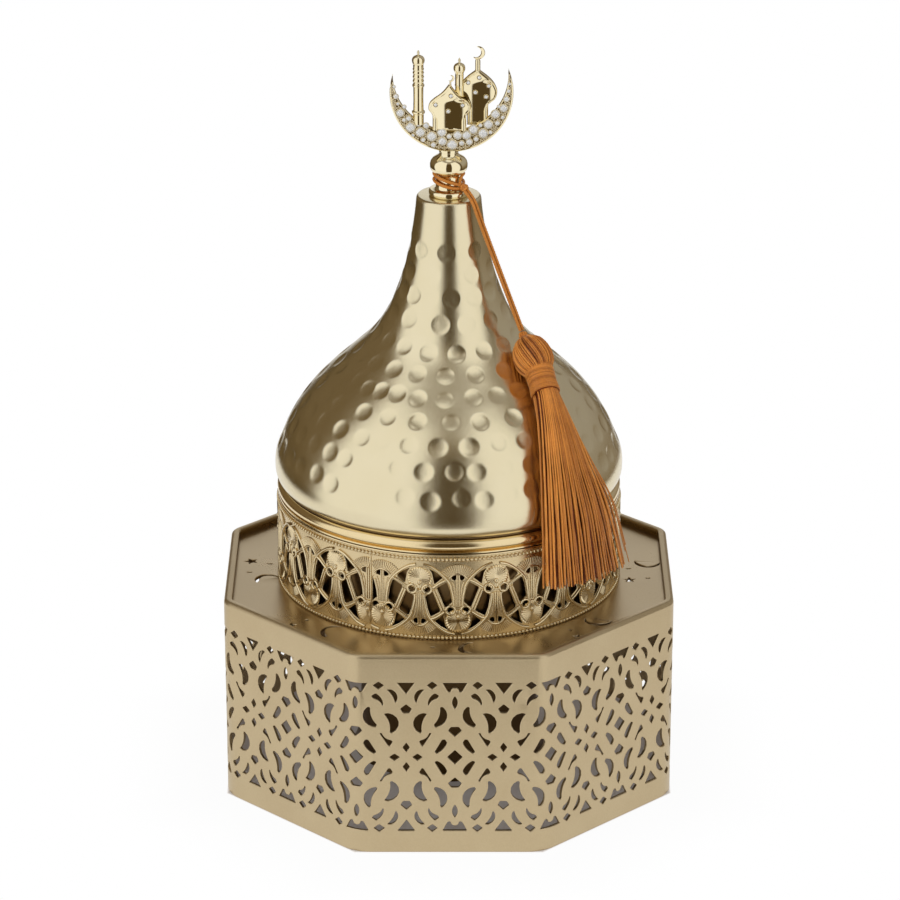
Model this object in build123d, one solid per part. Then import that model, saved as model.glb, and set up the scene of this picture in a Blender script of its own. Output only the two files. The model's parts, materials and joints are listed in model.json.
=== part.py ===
from build123d import *
import math
import os

# Lidded date bowl in gold-finished sheet metal: an octagonal lattice stand with a gallery round its middle,
# a footed bowl dropped into the gallery, a hammered onion-dome lid with a crescent finial, and a silk tassel
# tied round the finial. Millimetres, +Z up, origin on the table under the middle, ornament facing -Y.

os.makedirs("parts", exist_ok=True)

# Octagonal stand
across_flats = 150.0
stand_height = 71.1
wall_sheet = 1.0
bend_radius = 6.5
rim_width = 3.0
plate_recess = 2.2
plate_sheet = 1.0
plate_skirt = 5.0
skirt_corner_cut = 5.2

# Lattice openings, drawn about the column they stand on
lattice_height = 53.5
lattice_lift = 7.9
drawn_side = 62.13
lattice_start = 2.0
lattice_creep = 3.3

# Gallery round the bowl
gallery_stand_off = 2.7
gallery_height = 30.1
gallery_sheet = 0.6
motif_count = 14
gallery_border = 4.2
window_width = 5.0
window_height = 11.5
window_lean = 14.0
eyelet_width = 3.6
eyelet_height = 5.0
rosette_radius = 4.3

# Bowl and its foot
bowl_radius = 55.0
bowl_sheet = 0.9
bowl_floor_height = 50.0
bowl_bottom_inset = 5.0
bowl_taper_height = 4.0
bead_height = 4.9
bead_chamfer = 1.5
bead_top_overhang = 0.9
hole_clearance = 0.5
foot_radius = 30.0
foot_sheet = 0.8
foot_gap = 5.0

# Lid
collar_clearance = 0.8
collar_depth = 4.4
collar_sheet = 0.8
collar_flange_sheet = 0.6
dome_height = 98.8
dome_overhang = 0.6
dome_edge_inset = 1.2
dome_top_radius = 10.7
dome_sheet = 1.0
flats_per_row = 36
flat_rows = 12

# Finial
finial_flange_radius = 6.6
finial_flange_height = 2.2
finial_neck_radius = 4.3
finial_neck_height = 5.7
knob_radius = 6.2
knob_height = 5.7
knob_chamfer = 0.9
cup_radius = 3.4
cup_height = 2.2
cup_grip = 0.9
stud_radius = 1.5
stud_length = 5.2
stud_hole_clearance = 0.1
washer_radius = 3.6
washer_sheet = 0.8
nut_across_flats = 5.5
nut_height = 2.4

# Crescent ornament
crescent_radius = 20.1
crescent_hollow_radius = 18.8
crescent_hollow_lift = 5.8
crescent_sheet = 2.2
tip_width = 0.4
casting_sheet = 2.0
stone_count = 13
stone_largest = 1.5
stone_smallest = 0.7
stone_height = 0.7
stone_sweep = 68.0

# Domes and towers of the ornament: where they stand across the crescent, and their half widths and heights
dome_back = 0.2
front_dome_across = -0.3
front_dome_size = dict(neck_half=4.7, widest_half=7.1, widest_up=8.6, height=15.2, neck_up=4.3)
back_dome_across = 8.9
back_dome_size = dict(neck_half=2.6, widest_half=6.35, widest_up=10.9, height=17.8, neck_up=6.9)
dome_sunk = 0.7
dome_shoulder = 0.72
dome_shoulder_up = 0.42
dome_tip = 0.3
stem_width = 1.4
stem_height = 4.6
moon_radius = 2.3
moon_hollow_radius = 1.9
moon_sunk = 0.3
left_minaret_across = -10.5
left_minaret_size = dict(height=24.8, shaft=1.6, cap=2.2)
centre_minaret_across = 2.8
centre_minaret_foot = 9.0
centre_minaret_size = dict(height=15.5, shaft=1.3, cap=2.0)
minaret_sunk = 0.9
cap_base_down = 4.0
cap_widest_down = 3.4
cap_top_down = 2.2
spike_base_down = 1.2
spike_radius = 0.3

# Silk tassel
silk_cord = 1.1
neck_turn_count = 2
turn_pitch = 1.9
winding_gap = 0.1
knot_radius = 1.5
tassel_bearing = 52.0
strand_spacing = 1.3
binding_radius = 1.5
head_radius = 5.9
wrap_radius = 5.2
knot_gap = 0.1
turn_flat_count = 16

# Radii and heights worked out from the sizes above
gallery_radius = bowl_radius + gallery_stand_off
bowl_floor_radius = bowl_radius - bowl_bottom_inset
bead_top_radius = bowl_radius + bead_top_overhang
dome_radius = gallery_radius + dome_overhang
dome_edge_radius = gallery_radius - dome_edge_inset
plate_top = stand_height - plate_recess
gallery_top = plate_top + gallery_height
bead_top = gallery_top + bead_height
dome_edge = bead_top + collar_flange_sheet
dome_top = dome_edge + dome_height
neck_base = dome_top + finial_flange_height
neck_top = neck_base + finial_neck_height
knob_top = neck_top + knob_height
cup_top = knob_top + cup_height
crescent_base = cup_top - cup_grip
crescent_height = crescent_base + crescent_radius
hollow_height = crescent_height + crescent_hollow_lift
inner_flat = across_flats / 2 - wall_sheet
octagon_side = across_flats * math.tan(math.pi / 8)
column_pitch = 0.2556 * octagon_side
pattern_stretch = octagon_side / drawn_side
lattice_reach = 0.455 * octagon_side
face_turns = [45.0 * i for i in range(8)]


def write(name, *solids):
    """One STEP file per piece; like pieces that repeat are separate solids of one group."""
    shape = solids[0] if len(solids) == 1 else Compound(list(solids))
    export_step(shape, f"parts/{name}.step")


def spun(*corners):
    """Solid of revolution about Z from (radius, height) corners."""
    return revolve(Plane.XZ * make_face(Polyline(*corners, close=True)), Axis.Z).solid()


def octagon(apothem, corner_radius=0.0):
    """Octagon with flats across X and Y, its corners rounded."""
    sketch = RegularPolygon(apothem, 8, major_radius=False, rotation=22.5)
    if corner_radius > 0:
        sketch = fillet(sketch.vertices(), corner_radius)
    return sketch


def at_bearing(bearing, radius, height=0.0):
    """Point at a bearing in degrees from the front (-Y) towards +X."""
    turn = math.radians(bearing)
    return Vector(radius * math.sin(turn), -radius * math.cos(turn), height)


def mirrored(points, across, up):
    """Outline mirrored left to right and top to bottom about its column."""
    return [(across * x, up * z) for x, z in points]


# Lattice openings, mirrored about the column and the middle row of the pattern. Fan and star columns take turns.
fan_slot = [(-4.0, 26.7), (4.0, 26.7), (2.3, 23.5), (-2.3, 23.5)]
fan_diamond = [(-2.6, 0.0), (0.0, 2.6), (2.6, 0.0), (0.0, -2.6)]
half_moon = [(3.3, 6.5), (2.6, 3.0), (6.6, 1.4)]
tall_crescent = [(4.6, 18.3), (2.1, 14.4), (6.7, 10.6)]
star_triangle = [(-2.8, 26.7), (2.8, 26.7), (0.0, 22.7)]
low_crescent = [(6.7, 15.8), (2.0, 12.6), (4.5, 8.5)]
keystone = [(8.2, 8.8), (4.2, 5.8), (5.3, 3.8)]


def both_ways(points):
    return [mirrored(points, 1, up) for up in (1, -1)]


def four_ways(points):
    return [mirrored(points, across, up) for across in (1, -1) for up in (1, -1)]


fan_column = both_ways(fan_slot) + [fan_diamond] + four_ways(half_moon) + four_ways(tall_crescent)
star_column = both_ways(star_triangle) + four_ways(low_crescent) + four_ways(keystone)


def openings_on(plane, outlines, depth):
    """Cutters for outlines of (across, up) points on a plane that faces out of the wall."""
    faces = [plane * make_face(Polyline(*[(x, z) for x, z in outline], close=True)) for outline in outlines]
    return [extrude(face, amount=-depth).solid() for face in faces]


def face_openings(face):
    """Outlines on one face, counted from the front. The pattern is cut before the sheet is bent, so it creeps from
    face to face, and what would cross a bend is left out."""
    start = lattice_start + lattice_creep * face
    outlines = []
    for column in range(-3, 4):
        for outline in star_column if column % 2 else fan_column:
            placed = [((x + start) * pattern_stretch + column * column_pitch, z) for x, z in outline]
            if max(abs(x) for x, _ in placed) < lattice_reach:
                outlines.append(placed)
    return outlines


def lattice_wall():
    """Stand wall bent from one sheet, with a flat rim turned in at the top and a pierced lattice all round."""
    wall = extrude(octagon(across_flats / 2, bend_radius), amount=stand_height)
    wall -= extrude(octagon(inner_flat, bend_radius - wall_sheet), amount=stand_height - wall_sheet)
    wall -= extrude(octagon(across_flats / 2 - rim_width), amount=stand_height)
    middle = lattice_lift + lattice_height / 2
    cutters = []
    for face in range(-3, 5):
        turn = 45.0 * face
        out = at_bearing(turn, across_flats / 2 + 1, middle)
        face_plane = Plane(origin=out, x_dir=at_bearing(turn + 90, 1), z_dir=at_bearing(turn, 1))
        cutters += openings_on(face_plane, face_openings(face), wall_sheet + 2)
    return (wall - cutters).solid()


def star(radius, waist):
    """Five-pointed star."""
    points = []
    for i in range(10):
        reach = radius if i % 2 == 0 else waist
        points.append((reach * math.sin(math.pi * i / 5), reach * math.cos(math.pi * i / 5)))
    return points


star_outline = star(2.6, 1.1)
plate_crescent = [(-4.6, -1.0), (-1.5, 1.7), (4.4, 1.6), (-0.8, 0.9)]
# Each cut-out with its bearing from the middle of its side, and its share of the way from gallery to edge
plate_cutouts = [[(star_outline, -7.5, 0.63), (plate_crescent, 6.5, 0.3)],
                 [(star_outline, -7.5, 0.24), (plate_crescent, 4.5, 0.6)]]


def top_plate():
    """Recessed top of the stand: a tray turned down at the edge, pierced for the bowl and with stars and moons."""
    tray = RegularPolygon(inner_flat, 8, major_radius=False, rotation=22.5)
    tray = chamfer(tray.vertices(), skirt_corner_cut)
    inner = RegularPolygon(inner_flat - plate_sheet, 8, major_radius=False, rotation=22.5)
    inner = chamfer(inner.vertices(), skirt_corner_cut)
    plate = Pos(0, 0, plate_top - plate_skirt) * extrude(tray, amount=plate_skirt)
    plate -= Pos(0, 0, plate_top - plate_skirt) * extrude(inner, amount=plate_skirt - plate_sheet)
    plate -= Pos(0, 0, plate_top) * Cylinder(bowl_radius + hole_clearance, 4 * plate_sheet)
    cutters = []
    for i, turn in enumerate(face_turns):
        for outline, bearing, share in plate_cutouts[i % 2]:
            reach = gallery_radius + share * (inner_flat - gallery_radius)
            centre = at_bearing(turn + bearing, reach, plate_top + 1)
            top = Plane(origin=centre, x_dir=at_bearing(turn + bearing + 90, 1), z_dir=(0, 0, 1))
            cutters += openings_on(top, [outline], plate_sheet + 2)
    return (plate - cutters).solid()


def gallery_band():
    """Pierced strip closed into a ring, bent at every rosette: a leaning window on each flat between two bends,
    and an eyelet each side of every rosette."""
    flats = 2 * motif_count
    outline = RegularPolygon(gallery_radius, flats, rotation=0.0)
    inside = RegularPolygon(gallery_radius - gallery_sheet, flats, rotation=0.0)
    band = Pos(0, 0, plate_top) * extrude(outline - inside, amount=gallery_height)
    middle = (plate_top + gallery_top) / 2
    flat_width = 2 * gallery_radius * math.sin(math.pi / flats)
    eyelet_top = gallery_height / 2 - gallery_border
    eyelet_low = eyelet_top - eyelet_height
    lean = window_height * math.tan(math.radians(window_lean)) / 2
    half_width = window_width / 2
    half_height = window_height / 2
    near = flat_width / 2 - rosette_radius
    cutters = []
    for i in range(flats):
        up = 1 if i % 2 == 0 else -1
        window = [
            (-half_width - up * lean, -half_height),
            (half_width - up * lean, -half_height),
            (half_width + up * lean, half_height),
            (-half_width + up * lean, half_height),
        ]
        eyelet = [(near, eyelet_low), (near, eyelet_top), (near - eyelet_width, eyelet_low)]
        outlines = [window, mirrored(eyelet, up, 1), mirrored(eyelet, -up, -1)]
        bearing = 90 + 360 / flats * (i + 0.5)
        plane = Plane(
            origin=at_bearing(bearing, gallery_radius, middle),
            x_dir=at_bearing(bearing + 90, 1),
            z_dir=at_bearing(bearing, 1),
        )
        cutters += openings_on(plane, outlines, gallery_sheet + 3)
    return (band - cutters).solid()


def bowl():
    """Spun bowl with a tapered bottom; its rolled bead rests on top of the gallery."""
    inside = bowl_radius - bowl_sheet
    taper_top = bowl_floor_height + bowl_taper_height
    return spun(
        (0, bowl_floor_height),
        (bowl_floor_radius, bowl_floor_height),
        (bowl_radius, taper_top),
        (bowl_radius, gallery_top),
        (gallery_radius - bead_chamfer, gallery_top),
        (gallery_radius, gallery_top + bead_chamfer),
        (gallery_radius, bead_top - bead_chamfer),
        (bead_top_radius, bead_top),
        (inside, bead_top),
        (inside, taper_top + bowl_sheet / 2),
        (bowl_floor_radius - bowl_sheet / 2, bowl_floor_height + bowl_sheet),
        (0, bowl_floor_height + bowl_sheet),
    )


def bowl_foot():
    """Tube foot under the bowl, standing just clear of the table inside the stand."""
    return spun(
        (foot_radius - foot_sheet, foot_gap),
        (foot_radius, foot_gap),
        (foot_radius, bowl_floor_height),
        (foot_radius - foot_sheet, bowl_floor_height),
    )


# Onion outline of the lid: how far each point stands out between the top and the widest radius, and how high
# it is in the dome's height. The edge and the top come before and after these.
onion_shape = [(1.0, 0.035), (0.99, 0.086), (0.902, 0.197), (0.727, 0.319), (0.468, 0.44), (0.217, 0.582),
               (0.141, 0.663), (0.076, 0.764), (0.034, 0.865)]


def onion_outline():
    """Smooth outline of the dome from its edge to its flat top, in (radius, height)."""
    spread = dome_radius - dome_top_radius
    points = [(dome_edge_radius, dome_edge)]
    points += [(dome_top_radius + out * spread, dome_edge + up * dome_height) for out, up in onion_shape]
    points.append((dome_top_radius, dome_top))
    return Spline(*points)


def dome_rows():
    """Corner rows of the hammered flats, closer near the edge: (radius, height, outward in radius and height)."""
    outline = onion_outline()
    rows = []
    for i in range(flat_rows + 1):
        share = (i / flat_rows) ** 1.25
        point = outline @ share
        along = outline % share
        rows.append((point.X, point.Y, along.Y, -along.X))
    return rows


def ring(radius, height, phase, count=flats_per_row):
    return [at_bearing(360 / count * (j + phase), radius, height) for j in range(count)]


def facets(lower, upper, upper_ahead):
    """Triangles between two rings of as many corners, the upper one half a step ahead or behind."""
    count = len(lower)
    faces = []
    for j in range(count):
        k = (j + 1) % count
        if upper_ahead:
            corners = [(lower[j], lower[k], upper[j]), (lower[k], upper[k], upper[j])]
        else:
            corners = [(lower[j], upper[k], upper[j]), (lower[j], lower[k], upper[k])]
        faces += [Face(Wire.make_polygon(three, close=True)) for three in corners]
    return faces


def flat_end(corners):
    return Face(Wire.make_polygon(corners, close=True))


def ball(centre, radius, sides=10, rows=4):
    """Small lump of knotted thread, drawn with flats."""
    rings = []
    for i in range(1, rows + 1):
        tilt = math.pi * i / (rows + 1)
        rings.append([
            centre + Vector(
                radius * math.sin(tilt) * math.cos(2 * math.pi * j / sides),
                radius * math.sin(tilt) * math.sin(2 * math.pi * j / sides),
                -radius * math.cos(tilt),
            )
            for j in range(sides)
        ])
    return lofted_rings(rings)


def lofted_rings(rings):
    """Closed solid of flats through rings of corners, with a flat face at each end."""
    faces = [flat_end(rings[0]), flat_end(rings[-1])]
    for lower, upper in zip(rings, rings[1:]):
        faces += facets(lower, upper, True)
    return Solid(Shell(faces))


def lid_dome():
    """Onion dome raised from sheet, its skin planished in staggered rows of flats, with a flat top for the finial."""
    rows = dome_rows()
    outer = [ring(r, z, 0.5 * (i % 2)) for i, (r, z, _, _) in enumerate(rows)]
    inner = []
    for i, (r, z, out_r, out_z) in enumerate(rows):
        last = i == flat_rows
        first = i == 0
        height = dome_top - dome_sheet if last else (z if first else z - dome_sheet * out_z)
        inner.append(ring(r - dome_sheet * (1 if last or first else out_r), height, 0.5 * (i % 2)))
    faces = [flat_end(outer[-1]), flat_end(inner[-1])]
    for i in range(flat_rows):
        faces += facets(outer[i], outer[i + 1], i % 2 == 0)
        faces += facets(inner[i], inner[i + 1], i % 2 == 0)
    faces += facets(inner[0], outer[0], True)
    dome = Solid(Shell(faces))
    hole = Pos(0, 0, dome_top) * Cylinder(stud_radius + stud_hole_clearance, 6 * dome_sheet)
    return (dome - hole).solid()


def lid_collar():
    """Ring inside the lid that drops into the bowl, bent in the lid's flats; its flange shows over the bead."""
    outside = bowl_radius - bowl_sheet - collar_clearance
    inside = outside - collar_sheet
    profile = [
        (inside, bead_top - collar_depth),
        (outside, bead_top - collar_depth),
        (outside, bead_top),
        (dome_edge_radius, bead_top),
        (dome_edge_radius, dome_edge),
        (inside, dome_edge),
    ]
    rings = [ring(radius, height, 0) for radius, height in profile]
    faces = []
    for lower, upper in zip(rings, rings[1:] + rings[:1]):
        for j in range(flats_per_row):
            k = (j + 1) % flats_per_row
            faces.append(flat_end([lower[j], lower[k], upper[k], upper[j]]))
    return Solid(Shell(faces))


def crescent_outline():
    """Crescent moon lying on its back, its tips cut square at a small width."""
    outer = Pos(0, crescent_height) * Circle(crescent_radius)
    hollow = Pos(0, hollow_height) * Circle(crescent_hollow_radius)
    reach = crescent_radius ** 2 - crescent_hollow_radius ** 2
    tip_up = (reach + crescent_hollow_lift ** 2) / (2 * crescent_hollow_lift)
    tips_cut = Pos(0, crescent_height + tip_up - tip_width) * Rectangle(
        4 * crescent_radius, 2 * crescent_radius, align=(Align.CENTER, Align.MIN)
    )
    return outer - hollow - tips_cut


def plate_of(sketch, back, sheet):
    """Casting of one thickness from an outline drawn in X and Z, its back face at Y = back."""
    return extrude(Plane(origin=(0, back, 0), x_dir=(1, 0, 0), z_dir=(0, -1, 0)) * sketch, amount=sheet)


def crescent_plate():
    return plate_of(crescent_outline(), crescent_sheet / 2, crescent_sheet).solid()


def finial_stem(crescent):
    """Turned finial: flange, spool-shaped neck for the cord, knob, and a cup slotted for the crescent."""
    stem = spun(
        (0, dome_top - stud_length),
        (stud_radius, dome_top - stud_length),
        (stud_radius, dome_top),
        (finial_flange_radius, dome_top),
        (finial_flange_radius, neck_base),
        (finial_neck_radius, neck_base),
        (finial_neck_radius, neck_top),
        (knob_radius, neck_top),
        (knob_radius, knob_top - knob_chamfer),
        (knob_radius - knob_chamfer, knob_top),
        (cup_radius, knob_top),
        (cup_radius, cup_top),
        (0, cup_top),
    )
    return (stem - crescent).solid()


def finial_washer():
    under = dome_top - dome_sheet
    washer = Pos(0, 0, under - washer_sheet / 2) * Cylinder(washer_radius, washer_sheet)
    return (washer - Pos(0, 0, under) * Cylinder(stud_radius + stud_hole_clearance, 4 * washer_sheet)).solid()


def finial_nut():
    top = dome_top - dome_sheet - washer_sheet
    hexagon = RegularPolygon(nut_across_flats / 2, 6, major_radius=False)
    nut = Pos(0, 0, top - nut_height) * extrude(hexagon, amount=nut_height)
    return (nut - Pos(0, 0, top) * Cylinder(stud_radius, 4 * nut_height)).solid()


def on_hollow(across):
    """Height of the crescent's inner edge at a distance from the middle."""
    return hollow_height - math.sqrt(crescent_hollow_radius ** 2 - across ** 2)


def minaret(across, behind, foot, height, shaft, cap):
    """Cast tower of eight flats: shaft, bulb cap and pointed tip."""
    tip = foot + height
    profile = [
        (shaft, foot),
        (shaft, tip - cap_base_down),
        (cap, tip - cap_widest_down),
        (cap, tip - cap_top_down),
        (spike_radius, tip - spike_base_down),
        (0.8 * spike_radius, tip),
    ]
    centre = Vector(across, behind, 0)
    return lofted_rings([[centre + corner for corner in ring(r, z, 0, 8)] for r, z in profile])


def onion_sketch(across, base, neck_half, widest_half, widest_up, height, neck_up):
    """Outline of a small onion dome on a straight drum."""
    shoulder = (dome_shoulder * widest_half, base + widest_up + dome_shoulder_up * (height - widest_up))
    right = [
        (neck_half, base),
        (neck_half, base + neck_up),
        (widest_half, base + widest_up),
        shoulder,
        (dome_tip, base + height),
    ]
    edges = []
    for side in (-1, 1):
        foot, neck, widest, upper, tip = [(across + side * x, z) for x, z in right]
        edges += [Line(foot, neck), ThreePointArc(neck, widest, upper), Line(upper, tip)]
    edges.append(Line((across - dome_tip, base + height), (across + dome_tip, base + height)))
    edges.append(Line((across - neck_half, base), (across + neck_half, base)))
    return make_face(edges)


def front_dome(crescent):
    """Larger onion dome of the ornament, standing on the middle of the crescent."""
    base = on_hollow(0) - dome_sunk
    outline = onion_sketch(front_dome_across, base, **front_dome_size)
    return (plate_of(outline, dome_back, casting_sheet) - crescent).solid()


back_dome_base = on_hollow(back_dome_across) - dome_sunk
back_dome_top = back_dome_base + back_dome_size["height"]
moon_base = back_dome_top + stem_height - moon_sunk


def back_dome(crescent):
    """Smaller onion dome behind and to the right, on a tall drum, with a stem for its own moon."""
    outline = onion_sketch(back_dome_across, back_dome_base, **back_dome_size)
    stem = Pos(back_dome_across, back_dome_top - stem_width) * Rectangle(
        stem_width, stem_height + stem_width, align=(Align.CENTER, Align.MIN)
    )
    castings = [plate_of(part, dome_back + casting_sheet, casting_sheet) for part in (outline, stem)]
    return (castings[0] + castings[1] - crescent - top_crescent()).solid()


def top_crescent():
    """Tiny moon on the stem of the back dome, open to the upper left."""
    centre = moon_base + moon_radius
    moon = Pos(back_dome_across, centre) * Circle(moon_radius)
    moon -= Pos(back_dome_across - 0.35 * moon_radius, centre + 0.3 * moon_radius) * Circle(moon_hollow_radius)
    return plate_of(moon, dome_back + casting_sheet, casting_sheet).solid()


def clear_stones():
    """Cut stones set along the front of the crescent, the largest at the bottom."""
    middle_radius = crescent_radius - 0.3
    stones = []
    for i in range(stone_count):
        side = 2 * i / (stone_count - 1) - 1
        size = stone_largest + (stone_smallest - stone_largest) * abs(side)
        angle = math.radians(stone_sweep * side)
        depth = math.cos(angle) * (crescent_hollow_lift + crescent_radius - crescent_hollow_radius) / 2
        reach = middle_radius - depth
        x = reach * math.sin(angle)
        z = crescent_height - reach * math.cos(angle)
        rings = []
        for out, width in ((0, size), (stone_height, 0.6 * size)):
            y = -crescent_sheet / 2 - out
            corners = [math.pi / 3 * j for j in range(6)]
            rings.append([Vector(x + width * math.cos(c), y, z + width * math.sin(c)) for c in corners])
        stones.append(lofted_rings(rings))
    return stones


# Tassel: stations along it as bearing from the front, height of the lid or bowl surface beside it, and how far
# its middle stands off that surface; the bottom of the skirt hangs below the lid's edge.
binding_station = (57.6, 52.1, 5.0)
head_station = (53.8, 46.2, 6.5)
wrap_top_station = (50.1, 42.4, 5.9)
wrap_end_station = (45.2, 36.4, 6.0)
skirt_stations = [(42.1, 27.8, 5.9), (41.2, 17.6, 5.3), (43.0, 3.8, 4.8), (46.5, -19.7, 5.0)]
skirt_half_widths = [6.6, 10.2, 14.2, 17.2]
skirt_half_depths = [4.2, 3.8, 3.5, 3.8]
head_rings = [(-0.92, 0.4), (-0.62, 0.78), (-0.1, 1.0), (0.45, 0.93)]
fold_depth = 0.93
soft_gap = 0.05
skirt_corner_count = 16
knot_bearing = tassel_bearing - 4


def skin_at(height):
    """Point (radius, height) and outward direction of the lid's skin, or of the bowl's bead below its edge."""
    if height <= dome_edge:
        return dome_radius, height, 1.0, 0.0
    rows = dome_rows()
    for (r0, z0, nr0, nz0), (r1, z1, nr1, nz1) in zip(rows, rows[1:]):
        if height <= z1:
            share = (height - z0) / (z1 - z0)
            return r0 + share * (r1 - r0), height, nr0 + share * (nr1 - nr0), nz0 + share * (nz1 - nz0)
    return dome_top_radius, dome_top, 0.0, 1.0


def station(bearing, up, gap):
    """Tassel station as a point and its outward direction."""
    radius, height, out_r, out_z = skin_at(dome_edge + up)
    length = math.hypot(out_r, out_z)
    out_r, out_z = out_r / length, out_z / length
    point = at_bearing(bearing, radius + gap * out_r, height + gap * out_z)
    return point, at_bearing(bearing, out_r, out_z)


knot_reach = finial_neck_radius + silk_cord + knot_radius
knot_centre = at_bearing(knot_bearing, knot_reach, neck_base + knot_radius + knot_gap)
edge_turn = at_bearing(tassel_bearing, dome_top_radius + 1.2, dome_top + 0.9)
binding_centre = station(*binding_station)[0]


def neck_winding():
    """Cord wound round the neck of the finial in one unbroken run of turns, ending in the side knot."""
    radius = finial_neck_radius + winding_gap + silk_cord / 2
    start = neck_top - silk_cord
    steps = neck_turn_count * turn_flat_count
    centres = []
    rings = []
    for i in range(steps + 1):
        bearing = knot_bearing + 360 * i / turn_flat_count
        centre = at_bearing(bearing, radius, start - turn_pitch * i / turn_flat_count)
        out = at_bearing(bearing, silk_cord / 2)
        up = Vector(0, 0, silk_cord / 2)
        corners = [math.pi / 3 * j for j in range(6)]
        rings.append([centre + out * math.cos(c) + up * math.sin(c) for c in corners])
        centres.append(centre)
    gaps = [
        (centres[i] - centres[j]).length - silk_cord
        for i in range(steps + 1)
        for j in range(i + turn_flat_count // 2, steps + 1)
    ]
    length = sum((b - a).length for a, b in zip(centres, centres[1:]))
    print("neck winding: radius", round(radius, 2), "length", round(length, 1), "least gap", round(min(gaps), 2))
    return lofted_rings(rings)


def strand_route(side):
    """One strand of the tassel's cord: off the knot, over the lid's top edge, then pulled straight."""
    sideways = at_bearing(tassel_bearing + 90, 1) * (side * strand_spacing / 2)
    leave = (edge_turn - knot_centre).normalized()
    start = knot_centre + leave * (knot_radius + knot_gap) + sideways
    pull = (binding_centre - edge_turn).normalized()
    end = binding_centre - pull * (binding_radius + 2 * knot_gap) + sideways
    return [start, edge_turn + sideways, end]


def tassel_cord():
    """The two strands from the side knot to the binding knot."""
    strands = []
    for side in (-1, 1):
        route = strand_route(side)
        first, second = route[1] - route[0], route[2] - route[1]
        half_turn = math.radians(first.get_angle(second)) / 2
        radius = 0.45 * min(first.length, second.length) / math.tan(half_turn)
        path = FilletPolyline(*route, radius=radius)
        section = Plane(origin=path @ 0, z_dir=path % 0) * RegularPolygon(silk_cord / 2, 8)
        strand = sweep(section, path=path).solid()
        share = strand.volume / (section.area * path.length)
        print("strand: bend radius", round(radius, 2), "length", round(path.length, 1), "volume", round(share, 3))
        strands.append(strand)
    return strands


def cross_section(centre, out, along, half_width, half_depth, corners=skirt_corner_count):
    """Oval of corners square to the tassel's run, flutes given by every other corner standing in a little."""
    sideways = along.cross(out).normalized()
    outward = sideways.cross(along).normalized()
    points = []
    for j in range(corners):
        turn = 2 * math.pi * j / corners
        fold = 1.0 if j % 2 == 0 else fold_depth
        points.append(
            centre
            + sideways * (half_width * fold * math.cos(turn))
            + outward * (half_depth * fold * math.sin(turn))
        )
    return points


head_centre, head_out = station(*head_station)
wrap_top, wrap_top_out = station(*wrap_top_station)
wrap_end = station(*wrap_end_station)[0]
wrap_along = (wrap_end - wrap_top).normalized()


def tassel_head():
    """Bulb of folded threads above the wrap."""
    along = (wrap_top - head_centre).normalized()
    rings = []
    for share, size in head_rings:
        centre = head_centre + along * (share * head_radius)
        rings.append(cross_section(centre, head_out, along, size * head_radius, size * head_radius))
    last = wrap_top - wrap_along * soft_gap
    rings.append(cross_section(last, wrap_top_out, wrap_along, wrap_radius, wrap_radius))
    return lofted_rings(rings)


def tassel_wrap():
    """Thread wound tight round the neck of the tassel."""
    rings = [
        cross_section(wrap_top, wrap_top_out, wrap_along, wrap_radius, wrap_radius),
        cross_section(wrap_end, wrap_top_out, wrap_along, wrap_radius, wrap_radius),
    ]
    return lofted_rings(rings)


def tassel_skirt():
    """Hanging threads as one fan that lies on the dome and hangs past its edge."""
    centres = [wrap_end + wrap_along * soft_gap]
    outs = [wrap_top_out]
    for bearing, up, gap in skirt_stations:
        centre, out = station(bearing, up, gap)
        centres.append(centre)
        outs.append(out)
    half_widths = [wrap_radius] + skirt_half_widths
    half_depths = [wrap_radius] + skirt_half_depths
    rings = []
    for i, centre in enumerate(centres):
        before = centres[max(i - 1, 0)]
        after = centres[min(i + 1, len(centres) - 1)]
        along = wrap_along if i == 0 else (after - before).normalized()
        rings.append(cross_section(centre, outs[i], along, half_widths[i], half_depths[i]))
    return lofted_rings(rings)


crescent = crescent_plate()
front = front_dome(crescent)
back = back_dome(crescent)
left_foot = on_hollow(left_minaret_across) - minaret_sunk
left_tower = minaret(left_minaret_across, 0, left_foot, **left_minaret_size)
centre_foot = on_hollow(0) + centre_minaret_foot
centre_tower = minaret(centre_minaret_across, dome_back + casting_sheet / 2, centre_foot, **centre_minaret_size)

write("lattice_wall", lattice_wall())
write("top_plate", top_plate())
write("gallery_band", gallery_band())
write("bowl", bowl())
write("bowl_foot", bowl_foot())
write("lid_dome", lid_dome())
write("lid_collar", lid_collar())
write("finial_stem", finial_stem(crescent))
write("finial_washer", finial_washer())
write("finial_nut", finial_nut())
write("crescent_plate", crescent)
write("left_minaret", (left_tower - crescent).solid())
write("centre_minaret", (centre_tower - front - back - crescent).solid())
write("front_dome", front)
write("back_dome", back)
write("top_crescent", top_crescent())
write("clear_stones", *clear_stones())
write("neck_winding", neck_winding())
write("side_knot", ball(knot_centre, knot_radius))
write("tassel_cord", *tassel_cord())
write("binding_knot", ball(binding_centre, binding_radius))
write("tassel_head", tassel_head())
write("tassel_wrap", tassel_wrap())
write("tassel_skirt", tassel_skirt())
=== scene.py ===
"""Looks of the lidded date bowl: pierced gold stand, stamped gallery, hammered dome lid, crescent ornament
and silk tassel. Pieces are worked out in millimetres in the CAD frame and become metres when made."""

import json
import math

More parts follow.
